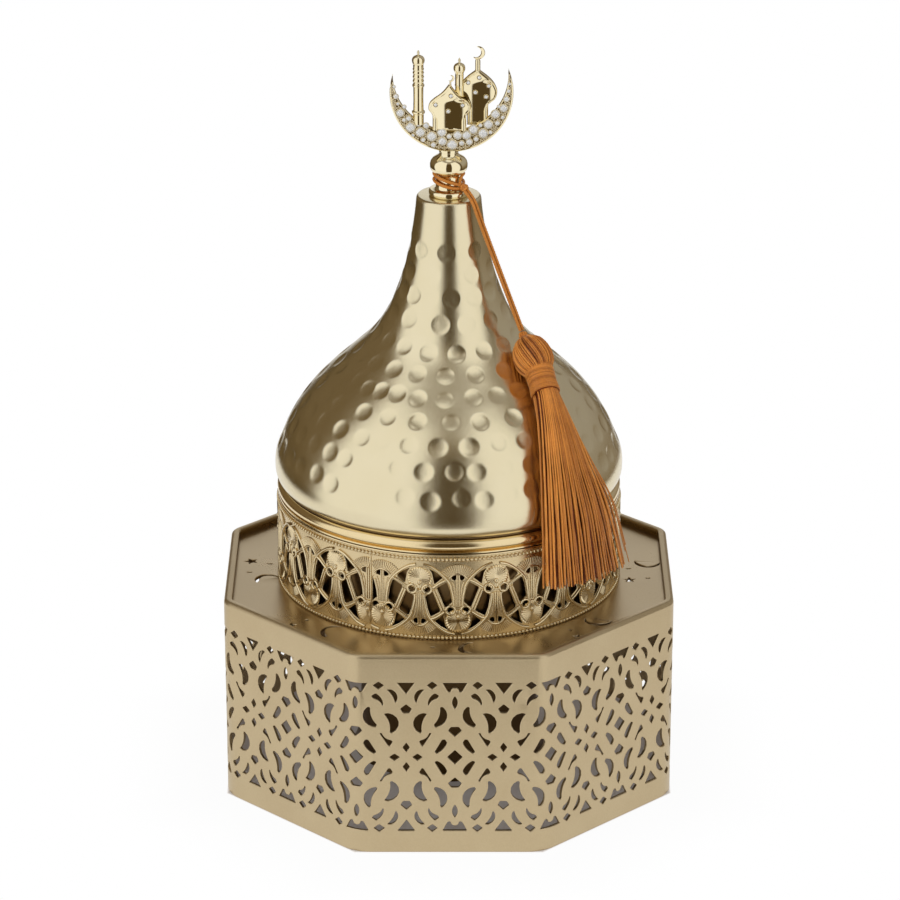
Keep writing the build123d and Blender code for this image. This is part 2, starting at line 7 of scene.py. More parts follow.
import bmesh
import bpy
import numpy as np
from mathutils import Vector
from mathutils.geometry import delaunay_2d_cdt
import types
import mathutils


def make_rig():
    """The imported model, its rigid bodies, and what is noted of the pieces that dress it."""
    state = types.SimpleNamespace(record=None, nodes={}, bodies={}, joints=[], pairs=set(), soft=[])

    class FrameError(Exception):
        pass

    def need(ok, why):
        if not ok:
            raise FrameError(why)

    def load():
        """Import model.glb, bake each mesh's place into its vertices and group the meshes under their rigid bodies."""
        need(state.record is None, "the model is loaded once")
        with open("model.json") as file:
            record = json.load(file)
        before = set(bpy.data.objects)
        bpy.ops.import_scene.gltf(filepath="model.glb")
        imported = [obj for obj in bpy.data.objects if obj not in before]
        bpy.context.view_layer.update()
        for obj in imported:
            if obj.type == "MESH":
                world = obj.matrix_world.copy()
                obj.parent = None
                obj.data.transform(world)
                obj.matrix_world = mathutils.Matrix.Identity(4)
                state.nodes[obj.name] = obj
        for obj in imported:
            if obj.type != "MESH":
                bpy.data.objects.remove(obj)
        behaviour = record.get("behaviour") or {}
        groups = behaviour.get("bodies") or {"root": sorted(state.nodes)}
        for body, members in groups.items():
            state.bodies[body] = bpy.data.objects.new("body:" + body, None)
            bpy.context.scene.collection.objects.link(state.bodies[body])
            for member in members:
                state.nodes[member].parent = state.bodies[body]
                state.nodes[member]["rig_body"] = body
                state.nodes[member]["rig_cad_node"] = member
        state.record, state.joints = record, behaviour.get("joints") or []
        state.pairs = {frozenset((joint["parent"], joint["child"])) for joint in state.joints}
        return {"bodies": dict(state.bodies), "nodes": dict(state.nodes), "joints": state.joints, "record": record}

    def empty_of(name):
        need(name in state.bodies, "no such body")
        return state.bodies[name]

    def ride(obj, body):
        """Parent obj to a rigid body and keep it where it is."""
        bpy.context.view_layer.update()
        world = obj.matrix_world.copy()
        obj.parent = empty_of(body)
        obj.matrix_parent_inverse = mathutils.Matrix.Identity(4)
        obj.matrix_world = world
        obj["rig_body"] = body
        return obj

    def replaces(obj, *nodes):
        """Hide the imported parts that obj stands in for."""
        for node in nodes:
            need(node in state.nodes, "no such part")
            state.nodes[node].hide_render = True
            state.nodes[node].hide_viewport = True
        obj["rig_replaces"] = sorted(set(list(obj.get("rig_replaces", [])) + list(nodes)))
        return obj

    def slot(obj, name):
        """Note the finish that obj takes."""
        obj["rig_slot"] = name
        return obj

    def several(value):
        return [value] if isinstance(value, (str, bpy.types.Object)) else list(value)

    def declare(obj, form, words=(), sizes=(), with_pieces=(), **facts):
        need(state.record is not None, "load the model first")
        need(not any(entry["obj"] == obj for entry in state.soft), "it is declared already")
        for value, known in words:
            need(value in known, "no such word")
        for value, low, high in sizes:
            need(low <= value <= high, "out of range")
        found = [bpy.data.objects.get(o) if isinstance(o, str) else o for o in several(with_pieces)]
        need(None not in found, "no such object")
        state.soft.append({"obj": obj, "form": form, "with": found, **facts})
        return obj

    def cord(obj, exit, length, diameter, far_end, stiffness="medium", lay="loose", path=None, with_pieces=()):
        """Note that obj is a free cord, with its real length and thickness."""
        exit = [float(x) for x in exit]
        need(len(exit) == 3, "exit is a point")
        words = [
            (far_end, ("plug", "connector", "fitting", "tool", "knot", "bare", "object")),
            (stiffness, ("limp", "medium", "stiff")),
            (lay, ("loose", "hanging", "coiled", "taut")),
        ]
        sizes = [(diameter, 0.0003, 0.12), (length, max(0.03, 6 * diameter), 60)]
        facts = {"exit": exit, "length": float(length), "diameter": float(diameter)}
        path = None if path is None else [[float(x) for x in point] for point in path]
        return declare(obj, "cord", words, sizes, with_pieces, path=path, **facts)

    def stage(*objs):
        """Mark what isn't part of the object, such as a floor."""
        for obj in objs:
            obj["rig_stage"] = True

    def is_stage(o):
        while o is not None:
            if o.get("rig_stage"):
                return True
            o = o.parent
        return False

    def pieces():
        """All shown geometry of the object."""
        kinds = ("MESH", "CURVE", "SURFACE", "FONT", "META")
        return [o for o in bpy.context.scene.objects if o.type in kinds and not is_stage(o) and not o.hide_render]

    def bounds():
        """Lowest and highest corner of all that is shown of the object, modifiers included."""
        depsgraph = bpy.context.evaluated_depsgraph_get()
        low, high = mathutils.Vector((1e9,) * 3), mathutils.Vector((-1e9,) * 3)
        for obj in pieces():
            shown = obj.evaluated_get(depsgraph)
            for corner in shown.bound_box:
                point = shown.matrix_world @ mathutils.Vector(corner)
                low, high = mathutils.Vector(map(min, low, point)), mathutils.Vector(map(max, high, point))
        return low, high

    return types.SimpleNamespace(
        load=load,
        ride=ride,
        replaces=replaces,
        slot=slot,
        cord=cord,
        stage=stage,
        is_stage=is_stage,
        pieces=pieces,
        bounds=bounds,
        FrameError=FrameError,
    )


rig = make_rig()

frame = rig.load()
cad_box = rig.bounds()
scene = bpy.context.scene
mm = 0.001
touching = 0.001  # Millimetres within which two places count as one
white = (1.0, 1.0, 1.0)
dice = np.random.default_rng(7)

# Sizes shared with the CAD source
across_flats = 150.0
stand_height = 71.1
bend_radius = 6.5
octagon_side = across_flats * math.tan(math.pi / 8)
plate_top = 68.9
gallery_radius = 57.7
gallery_height = 30.1
bowl_radius = 55.0
dome_edge = 104.5
dome_top = 203.3
neck_base = 205.5
neck_top = 211.2
cup_top = 219.1
crescent_centre = 238.3
crescent_radius = 20.1
hollow_centre = 244.1
hollow_radius = 18.8
silk_cord = 1.1


def put(name, data):
    """New object in the scene."""
    made = bpy.data.objects.new(name, data)
    scene.collection.objects.link(made)
    return made


def turned(x, y, angle):
    """Point turned about the origin."""
    c, s = math.cos(angle), math.sin(angle)
    return x * c - y * s, x * s + y * c


def at_bearing(bearing, radius, height=0.0):
    """Point at a bearing in degrees from the front (-Y) towards +X."""
    turn = math.radians(bearing)
    return Vector((radius * math.sin(turn), -radius * math.cos(turn), height))


# Camera
camera_data = bpy.data.cameras.new("camera")
camera_data.sensor_width = 36.0
camera_data.lens = 178.7
camera = put("camera", camera_data)
camera_target = Vector((0.0004, 0.0, 0.1128))
camera.location = (0.0004, -1.393, 0.6717)
camera.rotation_mode = "QUATERNION"
camera.rotation_quaternion = (camera_target - camera.location).to_track_quat("-Z", "Y")
camera_data.clip_end = 50.0
scene.camera = camera
scene.view_settings.view_transform = "Standard"


# Finishes
def operator(operation, other_first=False):
    """Method that joins a level and another value with a Math node."""
    def joined(self, other):
        return self.maths(operation, *((other, self) if other_first else (self, other)))

    return joined


class Level:
    """A value in a finish's nodes, so that shader maths reads as Python."""

    __add__ = operator("ADD")
    __radd__ = operator("ADD", True)
    __sub__ = operator("SUBTRACT")
    __rsub__ = operator("SUBTRACT", True)
    __mul__ = operator("MULTIPLY")
    __rmul__ = operator("MULTIPLY", True)
    over = operator("GREATER_THAN")
    most = operator("MAXIMUM")

    def __init__(self, finish, socket):
        self.finish = finish
        self.socket = socket

    def maths(self, operation, *values):
        return self.finish.level("Math", dict(enumerate(values)), operation=operation)

    def size(self):
        return self.maths("ABSOLUTE", self)

    def ramp(self, low, high):
        """0 below low and 1 above high, eased between them."""
        return self.finish.level("MapRange", {0: self, 1: low, 2: high}, interpolation_type="SMOOTHSTEP")


class Finish:
    """A material, or the world, and the nodes that make it."""

    def __init__(self, name, owner=None):
        self.owner = owner or bpy.data.materials.new(name)
        self.owner.use_nodes = True
        self.tree = self.owner.node_tree
        self.tree.nodes.clear()

    def node(self, kind, sockets=None, **settings):
        """Adds a node: its settings first, then the values or links of its sockets."""
        node = self.tree.nodes.new("ShaderNode" + kind)
        for key, value in settings.items():
            setattr(node, key, value)
        for key, value in (sockets or {}).items():
            socket = node.inputs[key]
            value = getattr(value, "socket", value)
            if isinstance(value, bpy.types.NodeSocket):
                self.tree.links.new(value, socket)
            elif socket.type == "RGBA" and len(value) == 3:
                socket.default_value = (*value, 1.0)
            else:
                socket.default_value = value
        return node

    def level(self, kind, sockets=None, out=0, **settings):
        return Level(self, self.node(kind, sockets, **settings).outputs[out])

    def place(self, scale=1.0):
        """Coordinates on the piece, in millimetres times the scale."""
        where = self.node("TexCoord").outputs["Object"]
        return self.node("VectorMath", {0: where, 1: (scale / mm,) * 3}, operation="MULTIPLY").outputs[0]

    def noise(self, scale, detail=2.0, roughness=0.5):
        """Noise with this many cycles to the millimetre."""
        sockets = {"Vector": self.place(scale), "Scale": 1.0, "Detail": detail, "Roughness": roughness}
        return self.level("TexNoise", sockets)

    def blend(self, share, first, second):
        """Colour between two colours."""
        return self.node("Mix", {"Factor": share, 6: first, 7: second}, data_type="RGBA").outputs[2]

    def bumps(self, height, depth):
        """Normal from a height between 0 and 1 that stands for a depth in millimetres."""
        return self.node("Bump", {"Height": height, "Distance": depth * mm, "Strength": 1.0}).outputs[0]

    def axes(self, place):
        """The three levels of a place."""
        return [Level(self, out) for out in self.node("SeparateXYZ", {0: place}).outputs]

    def ray(self, kind):
        """1 for rays of a kind and 0 for others."""
        return self.level("LightPath", out=f"Is {kind} Ray")

    def show(self, shader, kind="Material"):
        """Puts a shader on the output."""
        self.node("Output" + kind, {"Surface": shader.outputs[0]})
        return self.owner

    def shade(self, **values):
        """The surface itself, with constants on its own sockets."""
        return self.show(self.node("BsdfPrincipled", {key.replace("_", " "): v for key, v in values.items()}))


def gold(name, pale, deep, roughness, grain, grain_depth, wear=0.0, metal=1.0, spread=0.06):
    """Gold-coloured metal: two tones in slow patches, a fine grain, and small marks where it is handled."""
    finish = Finish(name)
    patches = finish.noise(0.06, 3.0)
    speckle = finish.noise(grain, 2.0, 0.6)
    marks = finish.noise(0.45, 5.0, 0.7).ramp(0.62, 0.78)
    share = (patches - 0.5) * 0.9 + 0.5 + (speckle - 0.5) * 0.5
    colour = finish.blend(share, deep, pale)
    dull = roughness + (patches - 0.5) * spread * 2 + (speckle - 0.5) * spread + marks * wear
    return finish.shade(
        Base_Color=colour,
        Metallic=metal,
        Roughness=dull,
        Normal=finish.bumps(speckle, grain_depth),
    )


stand_gold = gold("stand_gold", (0.65, 0.53, 0.33), (0.53, 0.41, 0.24), 0.36, 1.7, 0.055, 0.05, 0.92)
plate_gold = gold("plate_gold", (0.64, 0.52, 0.34), (0.52, 0.40, 0.23), 0.30, 2.2, 0.02, 0.06)
gallery_gold = gold("gallery_gold", (0.76, 0.62, 0.38), (0.62, 0.47, 0.25), 0.27, 3.0, 0.012, 0.10)
grain_gold = gold("grain_gold", (0.96, 0.88, 0.68), (0.86, 0.76, 0.54), 0.28, 3.0, 0.005, 0.05, 0.5)
relief_gold = gold("relief_gold", (0.86, 0.72, 0.46), (0.74, 0.59, 0.35), 0.18, 3.0, 0.008, 0.08)
bead_gold = gold("bead_gold", (0.90, 0.73, 0.42), (0.78, 0.62, 0.36), 0.17, 3.5, 0.006, 0.06)
dome_gold = gold("dome_gold", (0.84, 0.75, 0.53), (0.76, 0.66, 0.43), 0.20, 5.0, 0.018, 0.03)
polished_gold = gold("polished_gold", (0.95, 0.85, 0.59), (0.88, 0.76, 0.48), 0.06, 2.0, 0.002, 0.05,
                     spread=0.02)
# Near-black gold is painted shade: the bowl wall, its foot and the lid collar sit in shade inside the gallery and the
# stand, and this colour stands for that shade
painted_shade_gold = gold("painted_shade_gold", (0.22, 0.14, 0.06), (0.14, 0.09, 0.04), 0.33, 3.0, 0.010, 0.06)


def stone_finish():
    """Clear cut stone."""
    finish = Finish("clear_stone")
    cloud = finish.noise(0.8, 2.0)
    colour = finish.blend(cloud, (0.90, 0.94, 1.0), white)
    return finish.shade(
        Base_Color=colour, Metallic=0.0, Roughness=0.02 + cloud * 0.03, IOR=1.75, Transmission_Weight=0.3
    )


def silk_finish(name, pale, deep, fine):
    """Lustrous twisted silk: each thread has its own tone, with fine filaments along it. The darkest tones, on the
    cores and on the threads deep in the bundle, are painted shade between the threads.
    """
    finish = Finish(name)
    tone = finish.level("Attribute", out="Fac", attribute_name="tone")
    filaments = finish.noise(fine, 3.0, 0.7)
    patches = finish.noise(0.25, 2.0)
    share = tone * 0.75 + (filaments - 0.5) * 0.7 + (patches - 0.5) * 0.3 + 0.12
    return finish.shade(
        Base_Color=finish.blend(share, deep, pale),
        Roughness=0.42 + (filaments - 0.5) * 0.2,
        Sheen_Weight=0.25,
        Sheen_Roughness=0.4,
        Sheen_Tint=(1.0, 0.72, 0.42, 1.0),
        Specular_IOR_Level=0.45,
        Normal=finish.bumps(filaments, 0.06),
    )


clear_stone = stone_finish()
# The deep colour serves both for darker threads and for painted shade in the gaps between threads
silk = silk_finish("orange_silk", (0.86, 0.34, 0.055), (0.20, 0.03, 0.001), 2.4)
dark_silk = silk_finish("orange_silk_cord", (0.84, 0.34, 0.05), (0.34, 0.08, 0.004), 3.0)


# Making pieces
class Bench:
    """Points in millimetres and faces of one piece while it is being made."""

    def __init__(self):
        self.points = []
        self.faces = []
        self.tones = []

    def add(self, points, faces, tone=0.5):
        first = len(self.points)
        self.points.extend(tuple(p) for p in points)
        self.faces.extend([first + i for i in face] for face in faces)
        self.tones.extend([tone] * len(points))
        return self

    def piece(self, name, body, material, slot, stands_for=(), crease=35.0, weld=0.0):
        """The finished piece, riding on its body."""
        mesh = bpy.data.meshes.new(name)
        mesh.from_pydata((np.array(self.points) * mm).tolist(), [], self.faces)
        if weld:
            join_close(mesh, weld)
        mesh.validate()
        if len(mesh.vertices) == len(self.tones):
            tones = mesh.attributes.new("tone", "FLOAT", "POINT")
            tones.data.foreach_set("value", np.array(self.tones, np.float32))
        mesh.polygons.foreach_set("use_smooth", [True] * len(mesh.polygons))
        mesh.set_sharp_from_angle(angle=math.radians(crease))
        mesh.materials.append(material)
        made = put(name, mesh)
        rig.ride(made, body)
        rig.slot(made, slot)
        if stands_for:
            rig.replaces(made, *stands_for)
        return made


def ring_faces(rings, sides, closed=False, ends=True, first=0):
    """Faces between rings of points, with the first and last ring filled in unless they join."""
    faces = []
    for i in range(rings if closed else rings - 1):
        low, high = first + i * sides, first + (i + 1) % rings * sides
        for j in range(sides):
            k = (j + 1) % sides
            faces.append([low + j, low + k, high + k, high + j])
    if ends and not closed:
        faces.append([first + j for j in reversed(range(sides))])
        faces.append([first + (rings - 1) * sides + j for j in range(sides)])
    return faces


def join_close(mesh, distance):
    """Joins points that lie together."""
    work = bmesh.new()
    work.from_mesh(mesh)
    bmesh.ops.remove_doubles(work, verts=work.verts, dist=distance * mm)
    work.to_mesh(mesh)
    work.free()


def arc(start, through, end, steps=6):
    """Points after the start, to the end, on the circle through three points."""
    (ax, ay), (bx, by), (cx, cy) = start, through, end
    d = 2 * (ax * (by - cy) + bx * (cy - ay) + cx * (ay - by))
    if abs(d) < 1e-9:
        return [end]
    sa, sb, sc = ax * ax + ay * ay, bx * bx + by * by, cx * cx + cy * cy
    ux = (sa * (by - cy) + sb * (cy - ay) + sc * (ay - by)) / d
    uy = (sa * (cx - bx) + sb * (ax - cx) + sc * (bx - ax)) / d
    radius = math.hypot(ax - ux, ay - uy)
    a0, a1, a2 = (math.atan2(y - uy, x - ux) for x, y in (start, through, end))
    ahead = (a1 - a0) % math.tau
    sweep = (a2 - a0) % math.tau
    if ahead > sweep:
        sweep -= math.tau
    turns = [a0 + sweep * (i + 1) / steps for i in range(steps)]
    return [(ux + radius * math.cos(t), uy + radius * math.sin(t)) for t in turns]


def drawn(points, steps=6):
    """Closed outline: a point with a third value is passed on an arc from its neighbour to the next."""
    line = []
    count = len(points)
    for i, point in enumerate(points):
        if len(point) == 3:
            before = points[i - 1][:2]
            after = points[(i + 1) % count][:2]
            line.extend(arc(before, point[:2], after, steps)[:-1])
        else:
            line.append(point)
    return line


def eased(line, cut=0.22):
    """The outline with its sharp corners taken off."""
    out = []
    count = len(line)
    blunt = math.radians(150)
    for i in range(count):
        before, here, after = (Vector(line[j % count]) for j in (i - 1, i, i + 1))
        back, on = before - here, after - here
        if back.length < 1e-6 or on.length < 1e-6:
            continue
        if back.angle(on) > blunt:
            out.append(tuple(here))
            continue
        for step in (back, on):
            reach = min(cut, 0.4 * step.length)
            out.append(tuple(here + step.normalized() * reach))
    return out


def round_hole(x, y, radius, corners=12):
    """Corners of a circle, the first of them along X."""
    return [
        (x + radius * math.cos(math.tau * i / corners), y + radius * math.sin(math.tau * i / corners))
        for i in range(corners)
    ]


def turned_ways(outline, across, up):
    return [[(x * a, y * u, *rest) for x, y, *rest in outline] for a in across for u in up]


def pairs_round(line):
    """Each point of a closed outline with the next one."""
    return list(zip(line, line[1:] + line[:1]))


def anticlockwise(line):
    area = sum(x0 * y1 - x1 * y0 for (x0, y0), (x1, y1) in pairs_round(line))
    return line[::-1] if area < 0 else line


def pierced(edge, holes, guides=(), spots=()):
    """Flat sheet inside an edge with holes cut out, as points and triangles. Guides are lines that it bends
    on, and spots are points that it passes through."""
    points = []
    loops = []
    lines = []
    for loop in [anticlockwise(line) for line in (edge, *holes)]:
        loops.append(list(range(len(points), len(points) + len(loop))))
        points.extend(Vector(p) for p in loop)
    for start, end in guides:
        lines.append((len(points), len(points) + 1))
        points.extend((Vector(start), Vector(end)))
    points.extend(Vector(p) for p in spots)
    made, _, triangles, _, _, sources = delaunay_2d_cdt(points, lines, loops, 0, 1e-5)
    kept = [list(t) for t, source in zip(triangles, sources) if 0 in source and len(source) == 1]
    return [tuple(p) for p in made], kept


def moved_in(line, distance):
    """Closed outline moved inwards, or outwards where the distance is negative."""
    line = anticlockwise(line)
    count = len(line)
    out = []
    for i in range(count):
        run = Vector(line[(i + 1) % count]) - Vector(line[i - 1])
        normal = Vector((-run.y, run.x)).normalized()
        out.append((line[i][0] + normal.x * distance, line[i][1] + normal.y * distance))
    return out


def margins(holes, distance=0.24):
    """Guides a little outside each hole, where its softened edge begins."""
    pairs = []
    for line in holes:
        pairs += pairs_round(moved_in([p[:2] for p in line], -distance))
    return pairs


def rim_edges(triangles):
    """Directed edges that only one triangle has."""
    edges = {pair: True for t in triangles for pair in pairs_round(t)}
    return [(a, b) for a, b in edges if (b, a) not in edges]


def sheet(bench, plan, place, depth, open_edge=None, soft=0.0):
    """Adds a sheet of a thickness, with place(x, y, depth) putting each point of the plan on its form. Soft
    is how far its cut edges are rounded back, and open_edge tells edges that stay without one."""
    points, triangles = plan
    count = len(points)
    cut = [(a, b) for a, b in rim_edges(triangles)
           if open_edge is None or not open_edge(points[a], points[b])]
    edges = {i for pair in cut for i in pair}
    outer = [place(x, y, soft if i in edges else 0.0) for i, (x, y) in enumerate(points)]
    inner = [place(x, y, depth) for x, y in points]
    faces = [list(t) for t in triangles] + [[count + i for i in reversed(t)] for t in triangles]
    faces += [[b, a, count + a, count + b] for a, b in cut]
    bench.add(outer + inner, faces)


def spun(bench, profile, steps=144, middle=(0.0, 0.0)):
    """Adds a form turned about an upright line from (radius, height) points; closed if the profile is."""
    closed = profile[0] == profile[-1]
    rings = profile[:-1] if closed else profile
    x, y = middle
    turns = [math.tau * i / steps for i in range(steps)]
    points = [(x + radius * math.cos(t), y + radius * math.sin(t), height)
              for radius, height in rings for t in turns]
    bench.add(points, ring_faces(len(rings), steps, closed))


def tube(bench, path, radius, sides=6, closed=False, tone=0.5, lobes=0, lay=4.0):
    """Adds a tube along points, its radius a number or one for each point; lobes make it a laid cord."""
    path = [Vector(p) for p in path]
    count = len(path)
    radii = radius if isinstance(radius, (list, tuple)) else [radius] * count
    across = None
    points = []
    run = 0.0
    for i, here in enumerate(path):
        if closed:
            along = path[(i + 1) % count] - path[i - 1]
        else:
            along = path[min(i + 1, count - 1)] - path[max(i - 1, 0)]
        along.normalize()
        if across is None:
            across = along.orthogonal().normalized()
        across = (across - along * across.dot(along)).normalized()
        beside = along.cross(across)
        if i:
            run += (here - path[i - 1]).length
        for j in range(sides):
            turn = math.tau * j / sides
            swell = 0.86 + 0.14 * math.cos(lobes * (turn - math.tau * run / (lobes * lay))) if lobes else 1.0
            reach = radii[i] * swell
            points.append(here + across * math.cos(turn) * reach + beside * math.sin(turn) * reach)
    bench.add(points, ring_faces(count, sides, closed), tone)


def lump(bench, centre, size, sides=8, rows=5, tone=0.5):
    """Adds a small rounded bead; its half size is one number, or one for each axis."""
    a, b, c = size if isinstance(size, tuple) else (size,) * 3
    centre = Vector(centre)
    points = [centre - Vector((0, 0, c))]
    for i in range(1, rows):
        tilt = math.pi * i / rows
        for j in range(sides):
            turn = math.tau * j / sides
            points.append(centre + Vector((
                a * math.sin(tilt) * math.cos(turn), b * math.sin(tilt) * math.sin(turn), -c * math.cos(tilt)
            )))
    points.append(centre + Vector((0, 0, c)))
    last, top = 1 + (rows - 2) * sides, len(points) - 1
    faces = [[0, 1 + (j + 1) % sides, 1 + j] for j in range(sides)]
    faces += ring_faces(rows - 1, sides, ends=False, first=1)
    faces += [[last + j, last + (j + 1) % sides, top] for j in range(sides)]
    bench.add(points, faces, tone)


def distances(points):
    """How far each point is along a line of points."""
    return np.concatenate([[0], np.cumsum(np.linalg.norm(np.diff(points, axis=0), axis=1))])


def path_length(points):
    return float(distances(points)[-1])


def smooth_line(points, steps):
    """Points on a smooth line through the given ones, evenly spaced."""
    p = np.array(points, float)
    ends = np.vstack([2 * p[0] - p[1], p, 2 * p[-1] - p[-2]])
    parts = 24
    fine = []
    for a, b, c, d in zip(ends, ends[1:], ends[2:], ends[3:]):
        for t in np.linspace(0, 1, parts, endpoint=False):
            fine.append(0.5 * (2 * b + (c - a) * t + (2 * a - 5 * b + 4 * c - d) * t**2
                               + (3 * b - a - 3 * c + d) * t**3))
    fine.append(p[-1])
    fine = np.array(fine)
    run = distances(fine)
    even = np.linspace(0, run[-1], steps)
    return np.stack([np.interp(even, run, fine[:, k]) for k in range(fine.shape[1])], axis=1)


# Silk cords
def cord_line(name, route):
    """Points along the smooth curve that a cord follows, its control points in metres."""
    curve = bpy.data.curves.new(name, "CURVE")
    curve.dimensions = "3D"
    curve.resolution_u = 8
    spline = curve.splines.new("NURBS")
    spline.points.add(len(route) - 1)
    for point, place in zip(spline.points, route):
        point.co = (*place, 1.0)
    spline.order_u = 3
    spline.use_endpoint_u = True
    holder = put(name, curve)
    bpy.context.view_layer.update()
    line = bpy.data.meshes.new_from_object(holder)
    points = [v.co.copy() for v in line.vertices]
    bpy.data.objects.remove(holder)
    bpy.data.meshes.remove(line)
    return points


def threads(bench, name, node, finish, body="tassel"):
    """The finished piece of silk that stands for a node."""
    return bench.piece(name, body, finish, "orange_silk", (node,), 80)


def laid_cord(name, body, route, diameter, tone, node):
    """Silk cord of three plies laid together along a route, and the points that it follows."""
    line = [p / mm for p in cord_line(name + "_line", route)]
    step = 0.35
    even = smooth_line(line, max(24, int(path_length(line) / step)))
    bench = Bench()
    tube(bench, even, diameter / 2 * 1.04, 12, tone=tone, lobes=3, lay=0.9)
    return threads(bench, name, node, dark_silk, body), [tuple(p * mm) for p in even]


# Bearing, reach and height along the winding: up from the knot, twice round, and down to the knot again
winding_stations = [
    (44, 5.5, 207.2), (43, 5.2, 209.0), (47, 5.05, 210.3), (66, 4.95, 210.7), (90, 4.9, 210.6),
    (180, 4.9, 210.5), (270, 4.9, 210.7), (300, 4.95, 210.5), (330, 4.95, 209.9), (360, 4.95, 209.1),
    (385, 5.1, 208.3), (405, 5.3, 207.7), (425, 5.1, 207.5), (450, 4.9, 207.6), (540, 4.9, 208.0),
    (630, 4.9, 208.7), (660, 4.95, 208.4), (690, 4.95, 207.8),
    (720, 4.95, 207.2), (745, 5.1, 206.7), (765, 5.4, 206.5),
]
bearings, reaches, heights = zip(*winding_stations[2:])
winding_route = [at_bearing(*station) * mm for station in winding_stations[:2]]
for bearing in range(59, 766, 15):
    reach, height = (float(np.interp(bearing, bearings, values)) for values in (reaches, heights))
    winding_route.append(at_bearing(bearing, reach, height) * mm)
neck_cord, neck_cord_path = laid_cord(
    "neck_winding_silk", "tassel_loop", winding_route, silk_cord, 0.55, "neck_winding"
)
knot_centre = Vector((5.13, -4.62, 207.1))
binding_centre = Vector((24.49, -15.54, 159.68))
strand_routes = [
    [(0.0052, -0.0059, 0.2063), (0.00753, -0.00924, 0.2045), (0.0093, -0.0105, 0.1990),
     (0.02355, -0.01576, 0.16126)],
    [(0.0062, -0.0050, 0.2063), (0.00849, -0.00837, 0.2045), (0.0102, -0.0097, 0.1990),
     (0.02435, -0.01474, 0.16126)],
]
strands = [
    laid_cord(f"tassel_strand_{i + 1}", "tassel", route, silk_cord, 0.5 + 0.12 * i, "tassel_cord")
    for i, route in enumerate(strand_routes)
]


def thread_ball(name, body, centre, radius, node, turns=4, steps=28):
    """Small knot: thread turns lying over each other round a lump."""
    bench = Bench()
    # The lump under the turns takes a darker tone: painted shade between the turns
    lump(bench, centre, radius * 0.72, sides=12, rows=8, tone=0.3)
    for k in range(turns):
        axis = Vector((math.cos(1.1 * k), math.sin(1.9 * k + 0.4), 0.6 * math.cos(2.3 * k))).normalized()
        side = axis.orthogonal().normalized()
        other = axis.cross(side)
        loop = []
        for j in range(steps):
            turn = math.tau * j / steps
            loop.append(centre + (side * math.cos(turn) + other * math.sin(turn)) * radius * 0.68
                        + axis * radius * 0.3 * math.sin(turn + k))
        tube(bench, loop, radius * 0.34, 8, closed=True, tone=0.4 + 0.12 * k, lobes=3, lay=0.9)
    return threads(bench, name, node, dark_silk, body)


side_knot = thread_ball("side_knot_silk", "tassel_loop", knot_centre, 1.35, "side_knot")
binding_knot = thread_ball("binding_knot_silk", "tassel", binding_centre, 1.5, "binding_knot")

# Tassel
head_centre = Vector((28.09, -20.56, 155.28))
wrap_top = Vector((29.35, -24.54, 151.18))
wrap_end = Vector((31.71, -31.49, 145.16))
wrap_out = Vector((0.53, -0.44, 0.73))
wrap_along = (wrap_end - wrap_top).normalized()
# Centre, outward way, half width and half depth down the skirt
skirt_stations = [
    (Vector((35.1, -39.4, 135.86)), Vector((0.53, -0.59, 0.6)), 7.1, 4.2),
    (Vector((38.1, -45.0, 124.36)), Vector((0.6, -0.68, 0.43)), 11.0, 3.8),
    (Vector((41.6, -46.6, 107.65)), Vector((0.68, -0.72, -0.14)), 15.8, 3.5),
    (Vector((44.1, -44.8, 84.8)), Vector((0.73, -0.69, 0.0)), 20.4, 3.8),
]


def sides_of(along, out):
    """Sideways and outward directions square to a run."""
    sideways = along.cross(out).normalized()
    return sideways, sideways.cross(along).normalized()


def tassel_head():
    """Folded threads that bulge from the binding knot over the head and down under the wrap."""
    start = binding_centre + (head_centre - binding_centre).normalized() * 0.6
    axis = (wrap_top + wrap_along * 0.8) - start
    length = axis.length
    along = axis.normalized()
    sideways, outward = sides_of(along, wrap_out)
    shape = [(0.0, 0.16), (0.1, 0.55), (0.25, 0.88), (0.45, 1.05), (0.65, 1.09), (0.82, 1.03), (0.93, 0.9),
             (1.0, 0.78)]
    line = smooth_line(shape, 16)
    bench = Bench()

    def on_head(share, reach, turn):
        return (start + along * share * length + sideways * reach * math.cos(turn)
                + outward * reach * math.sin(turn))

    core_sides, core_reach, fold_reach = 28, 4.95, 5.35
    core = [on_head(share, size * core_reach, math.tau * j / core_sides)
            for share, size in line for j in range(core_sides)]
    # The core under the folds takes a dark tone: painted shade between the folds
    bench.add(core, ring_faces(len(line), core_sides), 0.15)
    folds = 54
    for k in range(folds):
        base = math.tau * k / folds + dice.normal(0, 0.03)
        lift = dice.uniform(0.0, 0.45)
        path = [on_head(share, size * (fold_reach + lift), base + 0.5 * (share - 0.5))
                for share, size in line]
        thick = [0.12 + 0.24 * size for _, size in line]
        tube(bench, path, thick, 7, tone=dice.uniform(0.1, 1.05), lobes=2, lay=1.6)
    return threads(bench, "tassel_head_threads", "tassel_head", silk)


